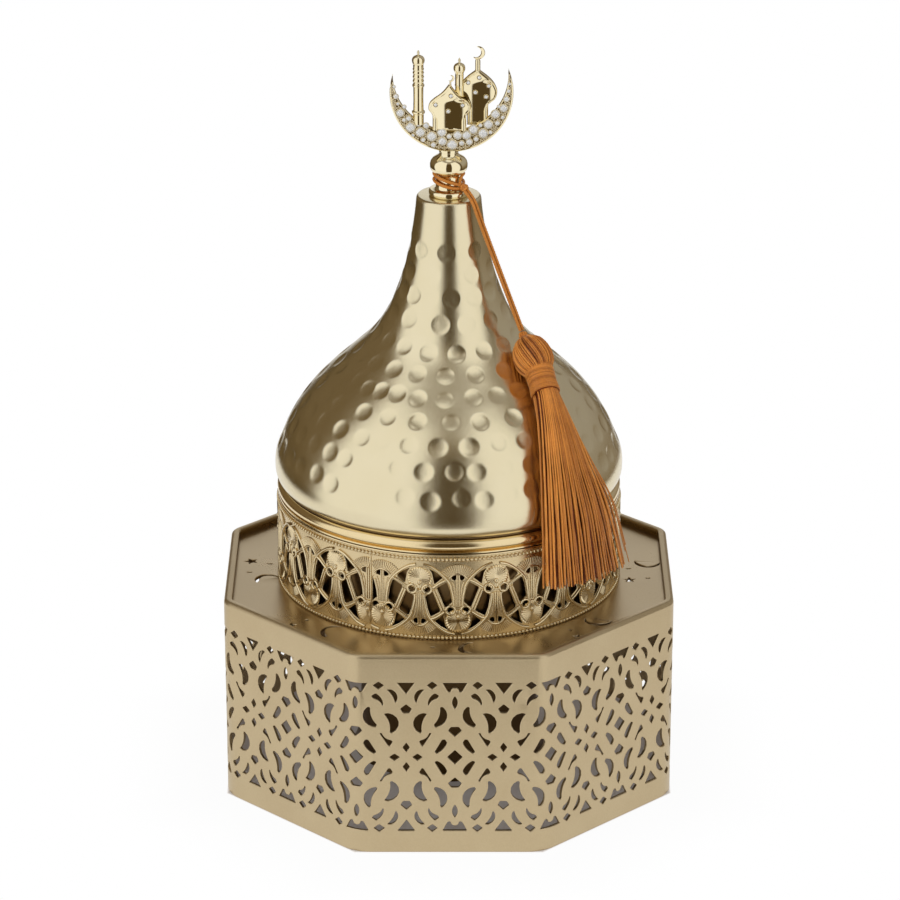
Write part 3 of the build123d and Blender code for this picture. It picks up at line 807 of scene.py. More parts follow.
def tassel_wrap():
    """Thread wound tight round the neck of the tassel, turn beside turn."""
    bench = Bench()
    sideways, outward = sides_of(wrap_along, wrap_out)
    length = (wrap_end - wrap_top).length
    turns, steps, thread, reach_out = 21, 30, 0.235, 4.6
    for k in range(turns):
        points = []
        swell = dice.uniform(-0.07, 0.07)
        for i in range(steps + 1):
            turn = math.tau * i / steps
            share = (k + i / steps) / turns
            reach = reach_out + swell + 0.12 * math.sin(9 * share)
            points.append(wrap_top + wrap_along * (share * length) + sideways * reach * math.cos(turn)
                          + outward * reach * math.sin(turn))
        tube(bench, points, thread, 8, tone=dice.uniform(0.35, 0.9))
    # The core under the turns takes a dark tone: painted shade in the gaps between the turns
    core = [wrap_top + wrap_along * (length * s) for s in (0.0, 0.5, 1.0)]
    tube(bench, core, 4.42, 28, tone=-0.1)
    return threads(bench, "tassel_wrap_turns", "tassel_wrap", silk)


def tassel_skirt():
    """Hanging silk strands that fan out over the dome and end in a ragged edge past its rim."""
    stations = [
        (wrap_end - wrap_along * 0.6, wrap_out, 4.2, 4.2),
        (wrap_end + wrap_along * 2.5, wrap_out, 4.6, 4.4),
        *skirt_stations,
    ]
    frames = []
    for i, (centre, out, width, depth) in enumerate(stations):
        along = (stations[min(i + 1, len(stations) - 1)][0] - stations[max(i - 1, 0)][0]).normalized()
        frames.append((centre, *sides_of(along, out), width, depth))
    bench = Bench()
    inner, outer = 190, 56  # Strands inside the bundle and on its outside
    golden = math.pi * (3 - math.sqrt(5))
    half = outer // 2
    # Strands inside the bundle take dark tones, painted shade between the outer strands; those on the outside take
    # pale and mixed tones
    for k in range(inner + outer):
        if k < inner:
            reach = math.sqrt((k + 0.5) / inner) * 0.82
            turn = k * golden
            tone, thin, thick = dice.uniform(-0.4, 0.1), 0.26, 0.34
        else:
            reach = 0.94 + dice.normal(0, 0.015)
            share = ((k - inner) % half + 0.5) / half + dice.normal(0, 0.006)
            turn = math.acos(max(-1.0, min(1.0, 1 - 2 * share))) * (1 if k - inner < half else -1)
            tone, thin, thick = dice.uniform(0.35, 1.0), 0.25, 0.46
        u, w = reach * math.cos(turn), reach * math.sin(turn)
        path = []
        for i, (centre, sideways, outward, width, depth) in enumerate(frames):
            stray = 0.0 if i < 3 else 0.006 * (i - 2)
            du, dw = dice.normal(0, stray), dice.normal(0, stray)
            path.append(centre + sideways * (u + du) * width + outward * (w + dw) * depth)
        end = path[-1] - path[-2]
        path[-1] = path[-1] + end.normalized() * (dice.uniform(-1.5, 0.5) - 0.6 * abs(u) - 4.2 * u)
        line = smooth_line(path, 26)
        sizes = [thin + (thick - thin) * min(1.0, share * 1.6) for share in np.linspace(0, 1, len(line))]
        sizes[-1] *= 0.8
        tube(bench, line, sizes, 7, tone=tone, lobes=2, lay=1.5)
    stray_thread = 0.16
    for spread, drop in ((1.02, 2.0), (1.07, -0.5), (1.04, 7.0)):
        path = []
        for i, (centre, sideways, outward, width, depth) in enumerate(frames):
            out = 0.9 + (spread - 0.9) * max(0.0, (i - 1) / (len(frames) - 2))
            path.append(centre - sideways * out * width + outward * 0.2 * depth)
        end = (path[-1] - path[-2]).normalized()
        path[-1] = path[-1] + end * (drop - 3.5)
        tube(bench, smooth_line(path, 30), stray_thread, tone=0.6)
    return threads(bench, "tassel_skirt_strands", "tassel_skirt", silk)


head = tassel_head()
wrap = tassel_wrap()
tassel_skirt()
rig.cord(neck_cord, exit=neck_cord_path[0], length=path_length(neck_cord_path), diameter=silk_cord * mm,
        far_end="knot", stiffness="limp", lay="coiled", path=neck_cord_path, with_pieces=[side_knot])
for i, (strand, strand_path) in enumerate(strands):
    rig.cord(strand, exit=strand_path[0], length=path_length(strand_path), diameter=silk_cord * mm,
            far_end="knot", stiffness="limp", lay="hanging", path=strand_path,
            with_pieces=[binding_knot, head, wrap] if i == 0 else [])

# Stand wall
lattice_middle = 7.9 + 53.5 / 2
column_pitch = 15.88
lattice_start = 2.0
lattice_creep = 3.3
wall_sheet = 1.0
wall_skin_top = 69.7
foot_bend_radius = 13.0
seam_corner = 4.5 * octagon_side

# Openings about the column they stand on; a third value marks a point that an arc passes
fan_slot = [(-4.05, 26.7), (4.05, 26.7), (2.35, 23.5), (1.35, 23.4), (0.0, 24.95, 1), (-1.35, 23.4),
            (-2.35, 23.5)]
fan_leaf = [(0.0, 22.0), (0.95, 19.65, 1), (0.0, 17.3), (-0.95, 19.65, 1)]
fan_shield = [(-1.35, 10.9), (1.35, 10.9), (2.3, 9.5), (0.0, 7.35), (-2.3, 9.5)]
fan_diamond = [(-2.6, 0.0), (0.0, 2.6), (2.6, 0.0), (0.0, -2.6)]
half_moon = [(3.2, 6.4), (2.5, 5.2), (3.6, 3.1, 1), (5.9, 1.3), (6.7, 1.8), (4.2, 6.3)]
tall_crescent = [(3.7, 17.9), (4.3, 18.15), (4.85, 17.9), (5.1, 14.9, 1), (6.9, 11.7), (6.6, 10.85),
                 (5.6, 11.0), (2.45, 14.9, 1)]
near_fan = [(5.1, 22.1), (6.5, 23.0), (8.1, 21.5, 1), (8.85, 18.9), (8.5, 18.5), (7.4, 20.3, 1), (5.7, 21.1)]
row_diamond = [(5.6, 25.8), (7.4, 27.2), (9.2, 25.8), (7.4, 24.4)]
star_triangle = [(-2.8, 26.75), (2.8, 26.75), (0.0, 22.7)]
star_house = [(0.0, 19.1), (1.9, 17.4), (1.1, 15.95), (-1.1, 15.95), (-1.9, 17.4)]
low_crescent = [(-6.9, 15.6), (-5.6, 15.9), (-2.25, 12.6, 1), (-4.5, 8.65), (-5.1, 8.9), (-5.25, 12.4, 1)]
bone = [(-8.3, 8.6), (-7.5, 8.75), (-6.4, 6.9, 1), (-4.6, 6.1), (-4.15, 5.5), (-5.0, 4.0), (-5.6, 4.1)]
star_upright = [(0.0, 5.3), (1.2, 3.5), (0.0, 1.75), (-1.2, 3.5)]
star_across = [(5.4, 0.0), (3.65, 1.27), (1.9, 0.0), (3.65, -1.27)]
near_star = [(-6.0, 24.3), (-4.7, 24.4), (-2.75, 22.4, 1), (-3.1, 19.7), (-3.5, 19.7), (-4.4, 22.3, 1)]


def column_of(*shapes):
    """Openings of a column, each drawn the ways it is turned: across and up."""
    return [way for shape, across, up in shapes for way in turned_ways(shape, across, up)]


once, both = (1,), (1, -1)
fan_column = column_of(
    (fan_slot, once, both), (fan_leaf, once, both), (fan_shield, once, both), (fan_diamond, once, once),
    (half_moon, both, both), (tall_crescent, both, both), (near_fan, both, both), (row_diamond, both, both),
)
star_column = column_of(
    (star_triangle, once, both), (star_house, once, both), (low_crescent, both, both), (bone, both, both),
    (star_upright, once, both), (star_across, both, once), (near_star, both, both),
)


def along_wall(pattern):
    """Distance round the wall from the middle of the front, for one along the pattern. The pattern keeps its
    size in the middle of each face and is drawn out a little round each corner."""
    face = round(pattern / (4 * column_pitch))
    from_middle = pattern - face * 4 * column_pitch
    spread = octagon_side + lattice_creep - 2 * column_pitch
    past = abs(from_middle) - column_pitch
    if past > 0:
        from_middle = math.copysign(column_pitch + past * spread / (2 * column_pitch), from_middle)
    return face * (octagon_side + lattice_creep) + lattice_start + from_middle


def wall_openings():
    """Openings of the whole strip, by distance round the wall and height, clear of its seam."""
    clear = 1.5
    first, last = seam_corner - 8 * octagon_side + clear, seam_corner - clear
    openings = []
    for column in range(-20, 24):
        for shape in star_column if column % 2 else fan_column:
            line = [(along_wall(x + column * column_pitch), z + lattice_middle)
                    for x, z in eased(drawn(shape))]
            reach = [x for x, _ in line]
            if min(reach) > first and max(reach) < last:
                openings.append(line)
    return openings


def easing(share):
    """A share held between 0 and 1 and eased at both ends."""
    share = min(1.0, max(0.0, share))
    return share * share * (3 - 2 * share)


def bend_at(z):
    """Radius of the corner bends, tight under the rim and looser towards the foot."""
    return bend_radius + (foot_bend_radius - bend_radius) * easing((62.0 - z) / 45.0)


def on_wall(face, x, z, inward):
    """Point on the octagon's wall: along the flat of a face, then round half of the bend at its end."""
    radius = bend_at(z)
    flat_half = octagon_side / 2 - radius * math.tan(math.pi / 8)
    side = math.copysign(1.0, x)
    past = abs(x) - flat_half
    apothem = across_flats / 2
    point = Vector((x, -(apothem - inward), z))
    if past > 0:
        turn = min(1.0, past / (octagon_side / 2 - flat_half)) * math.pi / 8
        reach = radius - inward
        point.x = side * (flat_half + reach * math.sin(turn))
        point.y = -(apothem - radius + reach * math.cos(turn))
    return Vector((*turned(point.x, point.y, math.pi / 4 * face), z))


def stand_wall():
    """Wall bent from one sheet and pierced all round, its top turned in to a narrow rim."""
    half = octagon_side / 2
    openings = wall_openings()
    bottom, top = 0.35, wall_skin_top
    bends = []
    for x in (25.4, 27.0, 28.4, 29.3, 30.2, half):
        bends += [((-x, bottom), (-x, top)), ((x, bottom), (x, top))]

    def left_open(a, b):
        """Whether an edge meets the next face, the rim or the foot."""
        return any(max(abs(abs(a[k]) - border), abs(abs(b[k]) - border)) < touching
                   for k, border in ((0, half), (1, top), (1, bottom)))

    roll = 1.3
    rim = [(0.0, top)]
    rim += [(roll * (1 - math.cos(t)), stand_height - roll * (1 - math.sin(t)))
            for t in np.radians(range(0, 91, 10))]
    rim += [(2.3, stand_height), (2.6, 71.0), (2.75, 70.75), (2.7, 70.3), (2.4, 70.1), (1.2, 70.05),
            (wall_sheet, top)]
    foot = [(wall_sheet, bottom), (0.85, 0.08), (0.65, 0.0), (0.35, 0.0), (0.15, 0.08), (0.0, bottom)]
    edge = [(-half - 12, bottom), (half + 12, bottom), (half + 12, top), (-half - 12, top)]
    bench = Bench()
    for face in range(-3, 5):
        holes = [[(x - face * octagon_side, z) for x, z in line] for line in openings]
        holes = [line for line in holes if min(abs(x) for x, _ in line) < half + 0.5]
        points, triangles = pierced(edge, holes, bends + margins(holes))
        inside = [t for t in triangles if abs(sum(points[i][0] for i in t) / len(t)) < half]
        used = sorted({i for t in inside for i in t})
        renumber = {old: new for new, old in enumerate(used)}
        points = [points[i] for i in used]
        triangles = [[renumber[i] for i in t] for t in inside]
        sheet(bench, (points, triangles), lambda x, z, inward: on_wall(face, x, z, inward), wall_sheet,
              left_open, 0.13)
        for height, section in ((top, rim), (bottom, foot)):
            line = sorted({round(x, 5) for x, z in points if abs(z - height) < touching})
            strip = [on_wall(face, x, z, inward) for inward, z in section for x in line]
            across = [f for f in ring_faces(len(section), len(line), ends=False) if f[1] > f[0]]
            bench.add(strip, across)
    return bench.piece("stand_wall_lattice", "base", stand_gold, "gold_matte", ("lattice_wall",), 24, 0.004)


stand_wall()


# Top plate
def star_shape(x, y, radius, lean=0.0):
    turns = [math.radians(lean) + math.pi * i / 5 for i in range(10)]
    reaches = [radius, radius * 0.42] * 5
    return [(x + reach * math.sin(turn), y + reach * math.cos(turn)) for reach, turn in zip(reaches, turns)]


def dash(x, y, length, lean=90.0, thick=0.7):
    turn = math.radians(lean)
    along = Vector((math.cos(turn), math.sin(turn)))
    up = Vector((-along.y, along.x))
    corners = ((-0.6, -1), (0.6, -1), (1, 0), (0.6, 1), (-0.6, 1), (-1, 0))
    return [tuple(Vector((x, y)) + along * length / 2 * a + up * thick / 2 * b) for a, b in corners]


# Cut out beside each kind of side: x along the side and y outwards from the middle
sky_motifs = [
    [star_shape(-7.6, 67.4, 2.5, 4), dash(-5.4, 60.9, 2.0, -77), dash(1.8, 67.5, 1.9),
     drawn([(10.5, 64.8), (6.4, 65.1, 1), (3.6, 61.7), (4.6, 58.8, 1), (7.3, 56.9), (5.2, 59.0, 1),
            (4.75, 61.6), (5.9, 63.5, 1), (8.6, 64.0)])],
    [star_shape(-8.3, 61.0, 2.3, 20), dash(1.2, 61.0, 1.7), dash(-6.9, 67.3, 1.7),
     drawn([(7.9, 63.4), (4.4, 64.1, 1), (2.3, 67.2), (3.1, 70.3, 1), (6.1, 71.9), (4.0, 69.8, 1),
            (3.3, 67.2), (5.2, 64.8, 1)])],
    [star_shape(-4.6, 69.2, 2.0, 4), dash(-3.7, 62.7, 1.5, -33),
     drawn([(10.2, 67.9), (6.8, 66.6, 1), (4.9, 63.6), (5.4, 60.3, 1), (8.9, 58.7), (6.1, 60.9, 1),
            (5.9, 63.4), (7.2, 65.0, 1), (10.3, 66.4)])],
    [dash(-5.3, 63.6, 1.7, 0),
     drawn([(7.9, 59.7), (4.2, 61.2, 1), (3.0, 64.4), (4.1, 67.3, 1), (7.9, 67.9), (5.4, 66.2, 1),
            (4.75, 64.2), (5.3, 61.7, 1)])],
    [star_shape(-8.8, 69.2, 2.1, -8), dash(-6.8, 63.6, 1.5, 80),
     drawn([(3.7, 60.4), (1.5, 62.4, 1), (1.1, 65.2), (2.6, 68.0, 1), (8.3, 68.1), (4.0, 67.1, 1),
            (2.4, 65.0), (2.5, 62.4, 1)])],
]
side_kinds = [3, 4, 1, 2, 0, 3, 0, 2]


def top_plate():
    """Recessed plate with moons and stars cut through, turned down at its edge and open for the bowl."""
    apothem, thick, skirt, corner_cut = 73.9, 1.0, 5.0, 2.6
    corner = apothem * math.tan(math.pi / 8) - corner_cut
    spins = [math.pi / 4 * i for i in range(8)]
    edge = [turned(x, -apothem, spin) for spin in spins for x in (-corner, corner)]
    holes = [round_hole(0, 0, bowl_radius + 0.5, 144)]
    for spin, kind in zip(spins, side_kinds):
        holes += [[turned(x, -y, spin) for x, y in shape] for shape in sky_motifs[kind]]
    bench = Bench()
    sheet(bench, pierced(edge, holes, margins(holes[1:])),
          lambda x, y, down: Vector((x, y, plate_top - down)), thick, soft=0.15)
    first = len(bench.points)
    for size, down in ((1.0, thick), (1.0, skirt), (0.986, skirt), (0.986, thick + 0.05)):
        bench.add([(x * size, y * size, plate_top - down) for x, y in edge], [])
    bench.faces += [f[::-1] for f in ring_faces(4, len(edge), ends=False, first=first)]
    return bench.piece("top_plate_sky", "base", plate_gold, "gold_matte", ("top_plate",), 30)


top_plate()

# Gallery
seam_bearing = -26.45
strip_length = math.tau * gallery_radius
motif_total = 29
first_motif = 4.18
last_motif = strip_length - 1.1
motif_pitch = (last_motif - first_motif) / (motif_total - 1)
band_middle = 14.1
band_skin = 57.3
band_sheet = 0.6
band_steps = 144
ring_across, ring_up = 2.5, 3.65
medallion_up = 7.4


def on_band(s, height, out):
    """Point on the gallery: along the strip from its seam, up from its bottom edge, out from its skin."""
    bearing = seam_bearing + 360.0 * s / strip_length
    return at_bearing(bearing, band_skin + out, plate_top + height)


def round_band(count, height, out):
    """Points all round the gallery."""
    return [on_band(strip_length * i / count, height, out) for i in range(count)]


# Windows at one side of an upright motif: across from its axis, and up from the middle of the band
stem_window = [(1.95, 1.0), (2.5, 1.45), (4.3, 2.9), (7.05, -4.2), (3.7, -6.2), (2.65, -3.2)]
arch_window = [(3.1, 10.9), (5.8, 9.4), (7.8, 7.7), (6.8, 7.0), (4.9, 5.3), (4.55, 7.2), (4.15, 9.3)]
foot_window = [(0.6, -6.9), (1.5, -6.8), (2.4, -7.6), (1.6, -8.6), (0.6, -8.9)]


def motif_axes():
    """Place of each motif along the strip, and 1 where its medallion is at the top or -1 at the bottom."""
    return [(first_motif + motif_pitch * i, 1 if i % 2 else -1) for i in range(motif_total)]


def gallery_strip():
    """Pierced strip closed into a ring."""
    holes = []
    for s, up in motif_axes():
        for across in (1, -1):
            shapes = [eased(shape, 0.4) for shape in (stem_window, arch_window, foot_window)]
            shapes.append(round_hole(ring_across, ring_up, 1.1))
            for shape in shapes:
                line = [(min(max(s + across * x, 0.6), strip_length - 0.4), band_middle + up * z)
                        for x, z in shape]
                reach = [x for x, _ in line]
                if max(reach) - min(reach) > 1.0:
                    holes.append(line)
    low, high = 0.0, gallery_height - 0.3
    edge = [(0.0, low), (strip_length, low), (strip_length, high), (0.0, high)]
    # The flat strip is bent at these places
    folds = [strip_length * i / band_steps for i in range(1, band_steps)]
    guides = [((s, low), (s, high)) for s in folds] + margins(holes, 0.2)
    bench = Bench()

    def at_seam(a, b):
        """Whether an edge is at one of the strip's two ends."""
        return abs(a[0] - b[0]) < 1e-6 and not touching < a[0] < strip_length - touching

    sheet(bench, pierced(edge, holes, guides), lambda s, height, inward: on_band(s, height, -inward),
          band_sheet, at_seam, 0.12)
    return bench.piece("gallery_strip", "base", gallery_gold, "gold_stamped", ("gallery_band",), 26, 0.004)


def medallion(bench, s, up):
    """Adds the round fan of a motif: ribs round a plain middle, each ending in a knuckle, and its drop."""
    ribs, steps = 28, 4
    count = ribs * steps
    rings = [(0.0, 0.2), (0.6, 0.2), (1.1, 0.2), (1.7, 0.2), (2.4, 0.21), (3.2, 0.23), (3.8, 0.25),
             (4.15, 0.0)]
    height = band_middle + up * medallion_up

    def placed(x, z, out):
        return on_band(min(max(s + x, 0.1), strip_length - 0.1), height + up * z, out)

    points = [placed(0, 0, rings[0][1])]
    for radius, out in rings[1:]:
        for j in range(count):
            turn = math.tau * j / count
            wave = math.cos(ribs * turn)
            ridge = wave * (0.032 * radius if radius < 3.5 else 0.2) if radius > 1.0 else 0.0
            reach = radius + (0.12 * wave if radius > 3.8 else 0.0)
            points.append(placed(reach * math.cos(turn), reach * math.sin(turn), out + ridge))
    faces = [[0, 1 + j, 1 + (j + 1) % count] for j in range(count)]
    faces += [[a, d, c, b] for a, b, c, d in ring_faces(len(rings) - 1, count, ends=False, first=1)]
    if up < 0:
        faces = [f[::-1] for f in faces]
    bench.add(points, faces)
    lump(bench, placed(0, -1.35, 0.3), (0.65, 0.5, 0.95))


# Raised lines at each side of a motif: places, half width, how far out, and steps
side_lines = [
    ([(1.5, 1.9), (1.65, -0.8), (2.1, -3.2), (2.7, -5.4)], 0.42, 0.12, 12),
    ([(0.95, 2.0), (1.0, -2.3), (1.35, -4.8), (2.0, -6.4)], 0.22, 0.1, 12),
    ([(0.38, 2.2), (0.36, -3.0), (0.38, -8.9)], 0.27, 0.12, 12),
    ([(1.2, 12.3), (3.6, 11.6), (5.8, 10.2), (8.0, 8.3), (9.6, 6.4), (10.4, 4.7)], 0.5, 0.16, 22),
    ([(4.5, 4.3), (5.6, 5.1), (7.2, 6.2), (9.0, 7.0)], 0.44, 0.16, 12),
]


def gallery_relief():
    """Raised work of the gallery: medallions, rings, stems, fans, arches and rows of beads."""
    bench = Bench()

    def line(points, radius, out, steps=12, sides=6):
        even = smooth_line(points, steps)
        path = [on_band(s, height, out) for s, height in even if 0.15 < s < strip_length - 0.15]
        if len(path) > 2:
            tube(bench, path, radius, sides)

    for i, (s, up) in enumerate(motif_axes()):
        medallion(bench, s, up)

        def placed(*places, side=1):
            return [(s + side * x, band_middle + up * z) for x, z in places]

        for side in (1, -1):
            centre = s + side * ring_across
            if 1.9 < centre < strip_length - 1.9:
                circle = round_hole(centre, band_middle + up * ring_up, 1.5, 20)
                tube(bench, [on_band(*spot, 0.26) for spot in circle], 0.42, 7, closed=True)
            for places, radius, out, steps in side_lines:
                line(placed(*places, side=side), radius, out, steps)
        if i < motif_total - 1:
            for off in (0.44, -0.44):
                slant = [(x + 0.93 * off, z + 0.36 * off) for x, z in ((5.0, 3.55), (6.38, 0),
                         (7.75, -3.55))]
                line(placed(*slant), 0.36, 0.14)
        line(placed((-0.9, 3.3), (0.0, 3.1), (0.9, 3.3)), 0.32, 0.2, 7)
        line(placed((-2.9, -7.7), (-1.6, -8.95), (0.0, -9.35), (1.6, -8.95), (2.9, -7.7)), 0.34, 0.12, 15)
        for turn in np.radians(np.linspace(-140, -40, 17)):
            ends = [(r * math.cos(turn), -5.5 + r * math.sin(turn)) for r in (4.2, 5.6, 7.0)]
            line(placed(*ends), 0.25, 0.12, 4, 8)
    beads = 265
    for height, size in ((0.6, 0.6), (28.4, 0.56)):
        for place in round_band(beads, height, 0.2):
            lump(bench, place, size, sides=7)
    for height, radius, out in ((27.7, 0.16, 0.0), (gallery_height - 0.42, 0.34, -0.12)):
        tube(bench, round_band(band_steps, height, out), radius, 8, closed=True)
    seam = [on_band(0.0, height, 0.05) for height in (0.4, 15.0, 29.6)]
    tube(bench, seam, 0.2, 6)
    return bench.piece("gallery_relief", "base", relief_gold, "gold_stamped", (), 65)


gallery_strip()
gallery_relief()


# Bowl and foot
def rounded(corners, sizes, steps=5):
    """Closed profile with its corners rounded by the given amounts."""
    line = []
    count = len(corners)
    for i, (corner, size) in enumerate(zip(corners, sizes)):
        here = Vector(corner)
        back = Vector(corners[i - 1]) - here
        on = Vector(corners[(i + 1) % count]) - here
        cut = min(size, 0.48 * back.length, 0.48 * on.length)
        if cut < 0.02:
            line.append(tuple(here))
            continue
        a, b = here + back.normalized() * cut, here + on.normalized() * cut
        for k in range(steps + 1):
            t = k / steps
            line.append(tuple(a * (1 - t) ** 2 + here * 2 * t * (1 - t) + b * t**2))
    return line + [line[0]]


def bowl():
    """Spun bowl with a round bottom edge, a glossy rolled bead and a small step under it."""
    bench = Bench()
    profile = [(0.3, 50.0), (49.5, 50.0), (52.6, 50.9), (54.5, 52.9), (bowl_radius, 56.0),
               (bowl_radius, 97.8), (55.3, 99.05), (57.1, 99.12), (57.35, 99.3), (57.3, 99.75)]
    bead = np.radians(np.linspace(-62, 118, 15))
    profile += [(55.35 + 2.35 * math.cos(t), 101.75 + 2.1 * math.sin(t)) for t in bead]
    profile += [(54.3, 103.85), (54.1, 103.5), (54.1, 56.2), (53.4, 53.6), (51.6, 51.7), (49.2, 50.9),
                (0.3, 50.9)]
    spun(bench, profile + profile[:1], 192)
    # The bowl below its bead takes the near-black gold, painted shade for its hidden wall; the bead keeps bright gold
    made = bench.piece("spun_bowl", "bowl", painted_shade_gold, "gold_stamped", ("bowl",), 40)
    made.data.materials.append(bead_gold)
    for face in made.data.polygons:
        if face.center.z > 98.9 * mm:
            face.material_index = 1
    return made


def bowl_foot():
    """Tube foot, flared a little where it nears the table."""
    bench = Bench()
    outside = [(30.0, 50.0), (30.0, 26.0), (30.3, 16.0), (31.2, 9.0), (32.4, 5.6), (32.7, 5.1)]
    inside = [(32.2, 5.0), (31.4, 7.0), (30.2, 11.0), (29.4, 18.0), (29.2, 26.0), (29.2, 50.0)]
    spun(bench, outside + inside + outside[:1])
    # Near-black gold: painted shade for the foot inside the stand
    return bench.piece("flared_foot", "bowl", painted_shade_gold, "gold_matte", ("bowl_foot",), 40)


bowl()
bowl_foot()

# Lid
dome_profile = [(56.5, 104.6), (57.6, 106.0), (58.24, 108.5), (57.95, 113.0), (56.1, 118.0), (53.5, 124.0),
                (49.92, 130.0), (45.32, 136.0), (39.52, 142.0), (32.96, 148.0), (25.85, 155.0),
                (21.02, 162.0), (17.43, 170.0), (14.31, 180.0), (12.3, 190.0), (11.2, 197.5), (10.72, 202.2)]

# Hammer marks: height of each row, how far apart they are in degrees, and where those at the front are
hammer_rows = [
    (187.4, 44, (-45, -4, 43)),
    (179.3, 38, (-62, -24, 31, 72)),
    (172.6, 26, (-64, -44, -22, 3, 30, 56)),
    (164.8, 27, (-68, -42, -8, 18, 45)),
    (156.8, 20, (-56, -37, -16, 6, 28, 48)),
    (150.8, 18, (-71, -54, -37, -20, -2, 17, 37)),
    (145.0, 13, (-67, -57, -47, -38, -28, -16, -2, 13, 26)),
    (139.0, 13, (-58, -41, -28, -14, 1, 14, 30)),
    (133.0, 12, (-48, -36, -27, -16, -4, 8, 20, 31)),
    (125.9, 10, (-58, -48, -40, -30, -19, -9, 2, 10)),
    (118.1, 9, (-61, -51, -43, -32, -24, -15, -6, 4, 12, 21, 29)),
]


def hammer_marks(line):
    """Places of the hammer marks: distance along the outline, turn round it, size and depth."""
    run = distances(line)
    marks = []
    for height, apart, front in hammer_rows:
        place = float(np.interp(height, line[:, 1], run))
        bearings = list(front)
        room = front[0] + 360 - front[-1]
        more = round(room / apart) - 1
        bearings += [front[-1] + room * (i + 1) / (more + 1) + dice.normal(0, 0.06 * apart)
                     for i in range(more)]
        for bearing in bearings:
            turn = math.radians(bearing - 90) % math.tau
            marks.append((place + dice.normal(0, 0.35), turn, dice.uniform(2.95, 3.3),
                          dice.uniform(0.26, 0.38)))
    return run, marks


def lid_dome():
    """Onion dome of hammered sheet, smooth at its edge and up its neck, with a flat top for the finial."""
    steps, rows = 560, 250
    line = smooth_line(dome_profile, rows)
    run, marks = hammer_marks(line)
    slope = np.gradient(line, axis=0)
    slope /= np.linalg.norm(slope, axis=1)[:, None]
    out = np.stack([slope[:, 1], -slope[:, 0]], axis=1)
    turns = math.tau * np.arange(steps) / steps
    sink = np.zeros((rows, steps))
    for place, turn, size, depth in marks:
        near = np.nonzero(np.abs(run - place) < size)[0]
        for i in near:
            gap = (turns - turn + math.pi) % math.tau - math.pi
            across = gap * line[i, 0]
            away = (across**2 + (run[i] - place) ** 2) / size**2
            hit = away < 1
            shape = depth * (1 - away[hit] ** 1.3)
            sink[i, hit] = np.maximum(sink[i, hit], shape)

    def ring(radius, height):
        return np.stack([radius * np.cos(turns), radius * np.sin(turns), height + 0 * turns], axis=1)

    points = [ring(*(line[i][:, None] - sink[i] * out[i][:, None])) for i in range(rows)]
    thick = 1.0
    top = [(10.55, 202.85), (10.2, 203.2), (9.7, dome_top), (1.7, dome_top), (1.7, dome_top - thick),
           (9.7, dome_top - thick)]
    inner = [line[i] - out[i] * thick for i in range(rows - 6, 4, -12)]
    edge = [(55.5, 105.2), (55.4, 104.7), (55.8, dome_edge)]
    points += [ring(radius, height) for radius, height in (*top, *inner, *edge)]
    bench = Bench()
    bench.add(np.concatenate(points).tolist(), ring_faces(len(points), steps, True))
    return bench.piece("hammered_dome", "lid", dome_gold, "gold_satin", ("lid_dome",), 50)


def lid_collar():
    """Ring that drops into the bowl, with the thin flange that shows between bead and dome."""
    bench = Bench()
    corners = [(52.5, 99.5), (53.3, 99.5), (53.3, 103.9), (56.2, 103.92), (56.2, 104.5), (52.5, 104.5)]
    spun(bench, rounded(corners, [0.3, 0.3, 0.2, 0.25, 0.25, 0.3]))
    # Near-black gold: painted shade where the collar's flange lies under the dome's edge
    return bench.piece("lid_collar_ring", "lid", painted_shade_gold, "gold_stamped", ("lid_collar",), 40)


lid_dome()
lid_collar()


# Finial
def finial_stem():
    """Turned finial: flange, spool neck, round knob and the cup that holds the crescent."""
    bench = Bench()
    profile = [(0.05, 198.1), (1.5, 198.1), (1.5, dome_top), (6.0, dome_top), (6.45, 203.5), (6.6, 204.0),
               (6.6, 204.9), (6.4, 205.35), (5.9, neck_base), (4.7, 205.55), (4.3, 205.9), (4.25, 207.0),
               (4.25, 209.8), (4.3, 210.6), (4.8, neck_top), (5.4, 211.4), (5.9, 212.1), (6.2, 213.1),
               (6.2, 214.1), (5.9, 215.1), (5.2, 216.0), (4.2, 216.65), (3.5, 217.0), (3.1, 217.5),
               (3.2, 218.2), (3.4, 218.8), (3.2, cup_top),
               (0.05, cup_top)]
    spun(bench, profile, 96)
    return bench.piece("turned_finial", "lid", polished_gold, "gold_polished", ("finial_stem",), 55)


finial_stem()
for name in ("finial_washer", "finial_nut"):
    finishes = frame["nodes"][name].data.materials
    finishes.clear()
    finishes.append(polished_gold)


# Crescent ornament
def ornament(bench, name, node, weld=0.0):
    """The finished piece of the lid's ornament that stands for a node."""
    return bench.piece(name, "lid", polished_gold, "gold_polished", (node,), 40, weld)


moon_turn = math.radians(3.0)
moon_shift = 0.9
moon_steps = 72


def on_moon(x, z):
    """Point of the crescent, which is set a little turned and to the right of the stem."""
    x, up = turned(x, z - crescent_centre, moon_turn)
    return moon_shift + x, crescent_centre + up


def within(line, x, y):
    """Whether a point lies inside a closed outline."""
    inside = False
    for (x0, y0), (x1, y1) in pairs_round(line):
        if (y0 > y) != (y1 > y) and x < x0 + (y - y0) * (x1 - x0) / (y1 - y0):
            inside = not inside
    return inside


def bowed(distance, steep, most):
    """How far a face has gone back at a distance from its highest line: ever steeper, then straight."""
    rate, flat = math.tan(math.radians(steep)), most / steep
    near = min(abs(distance), flat)
    return rate * near * near / 2 + rate * flat * (abs(distance) - near)


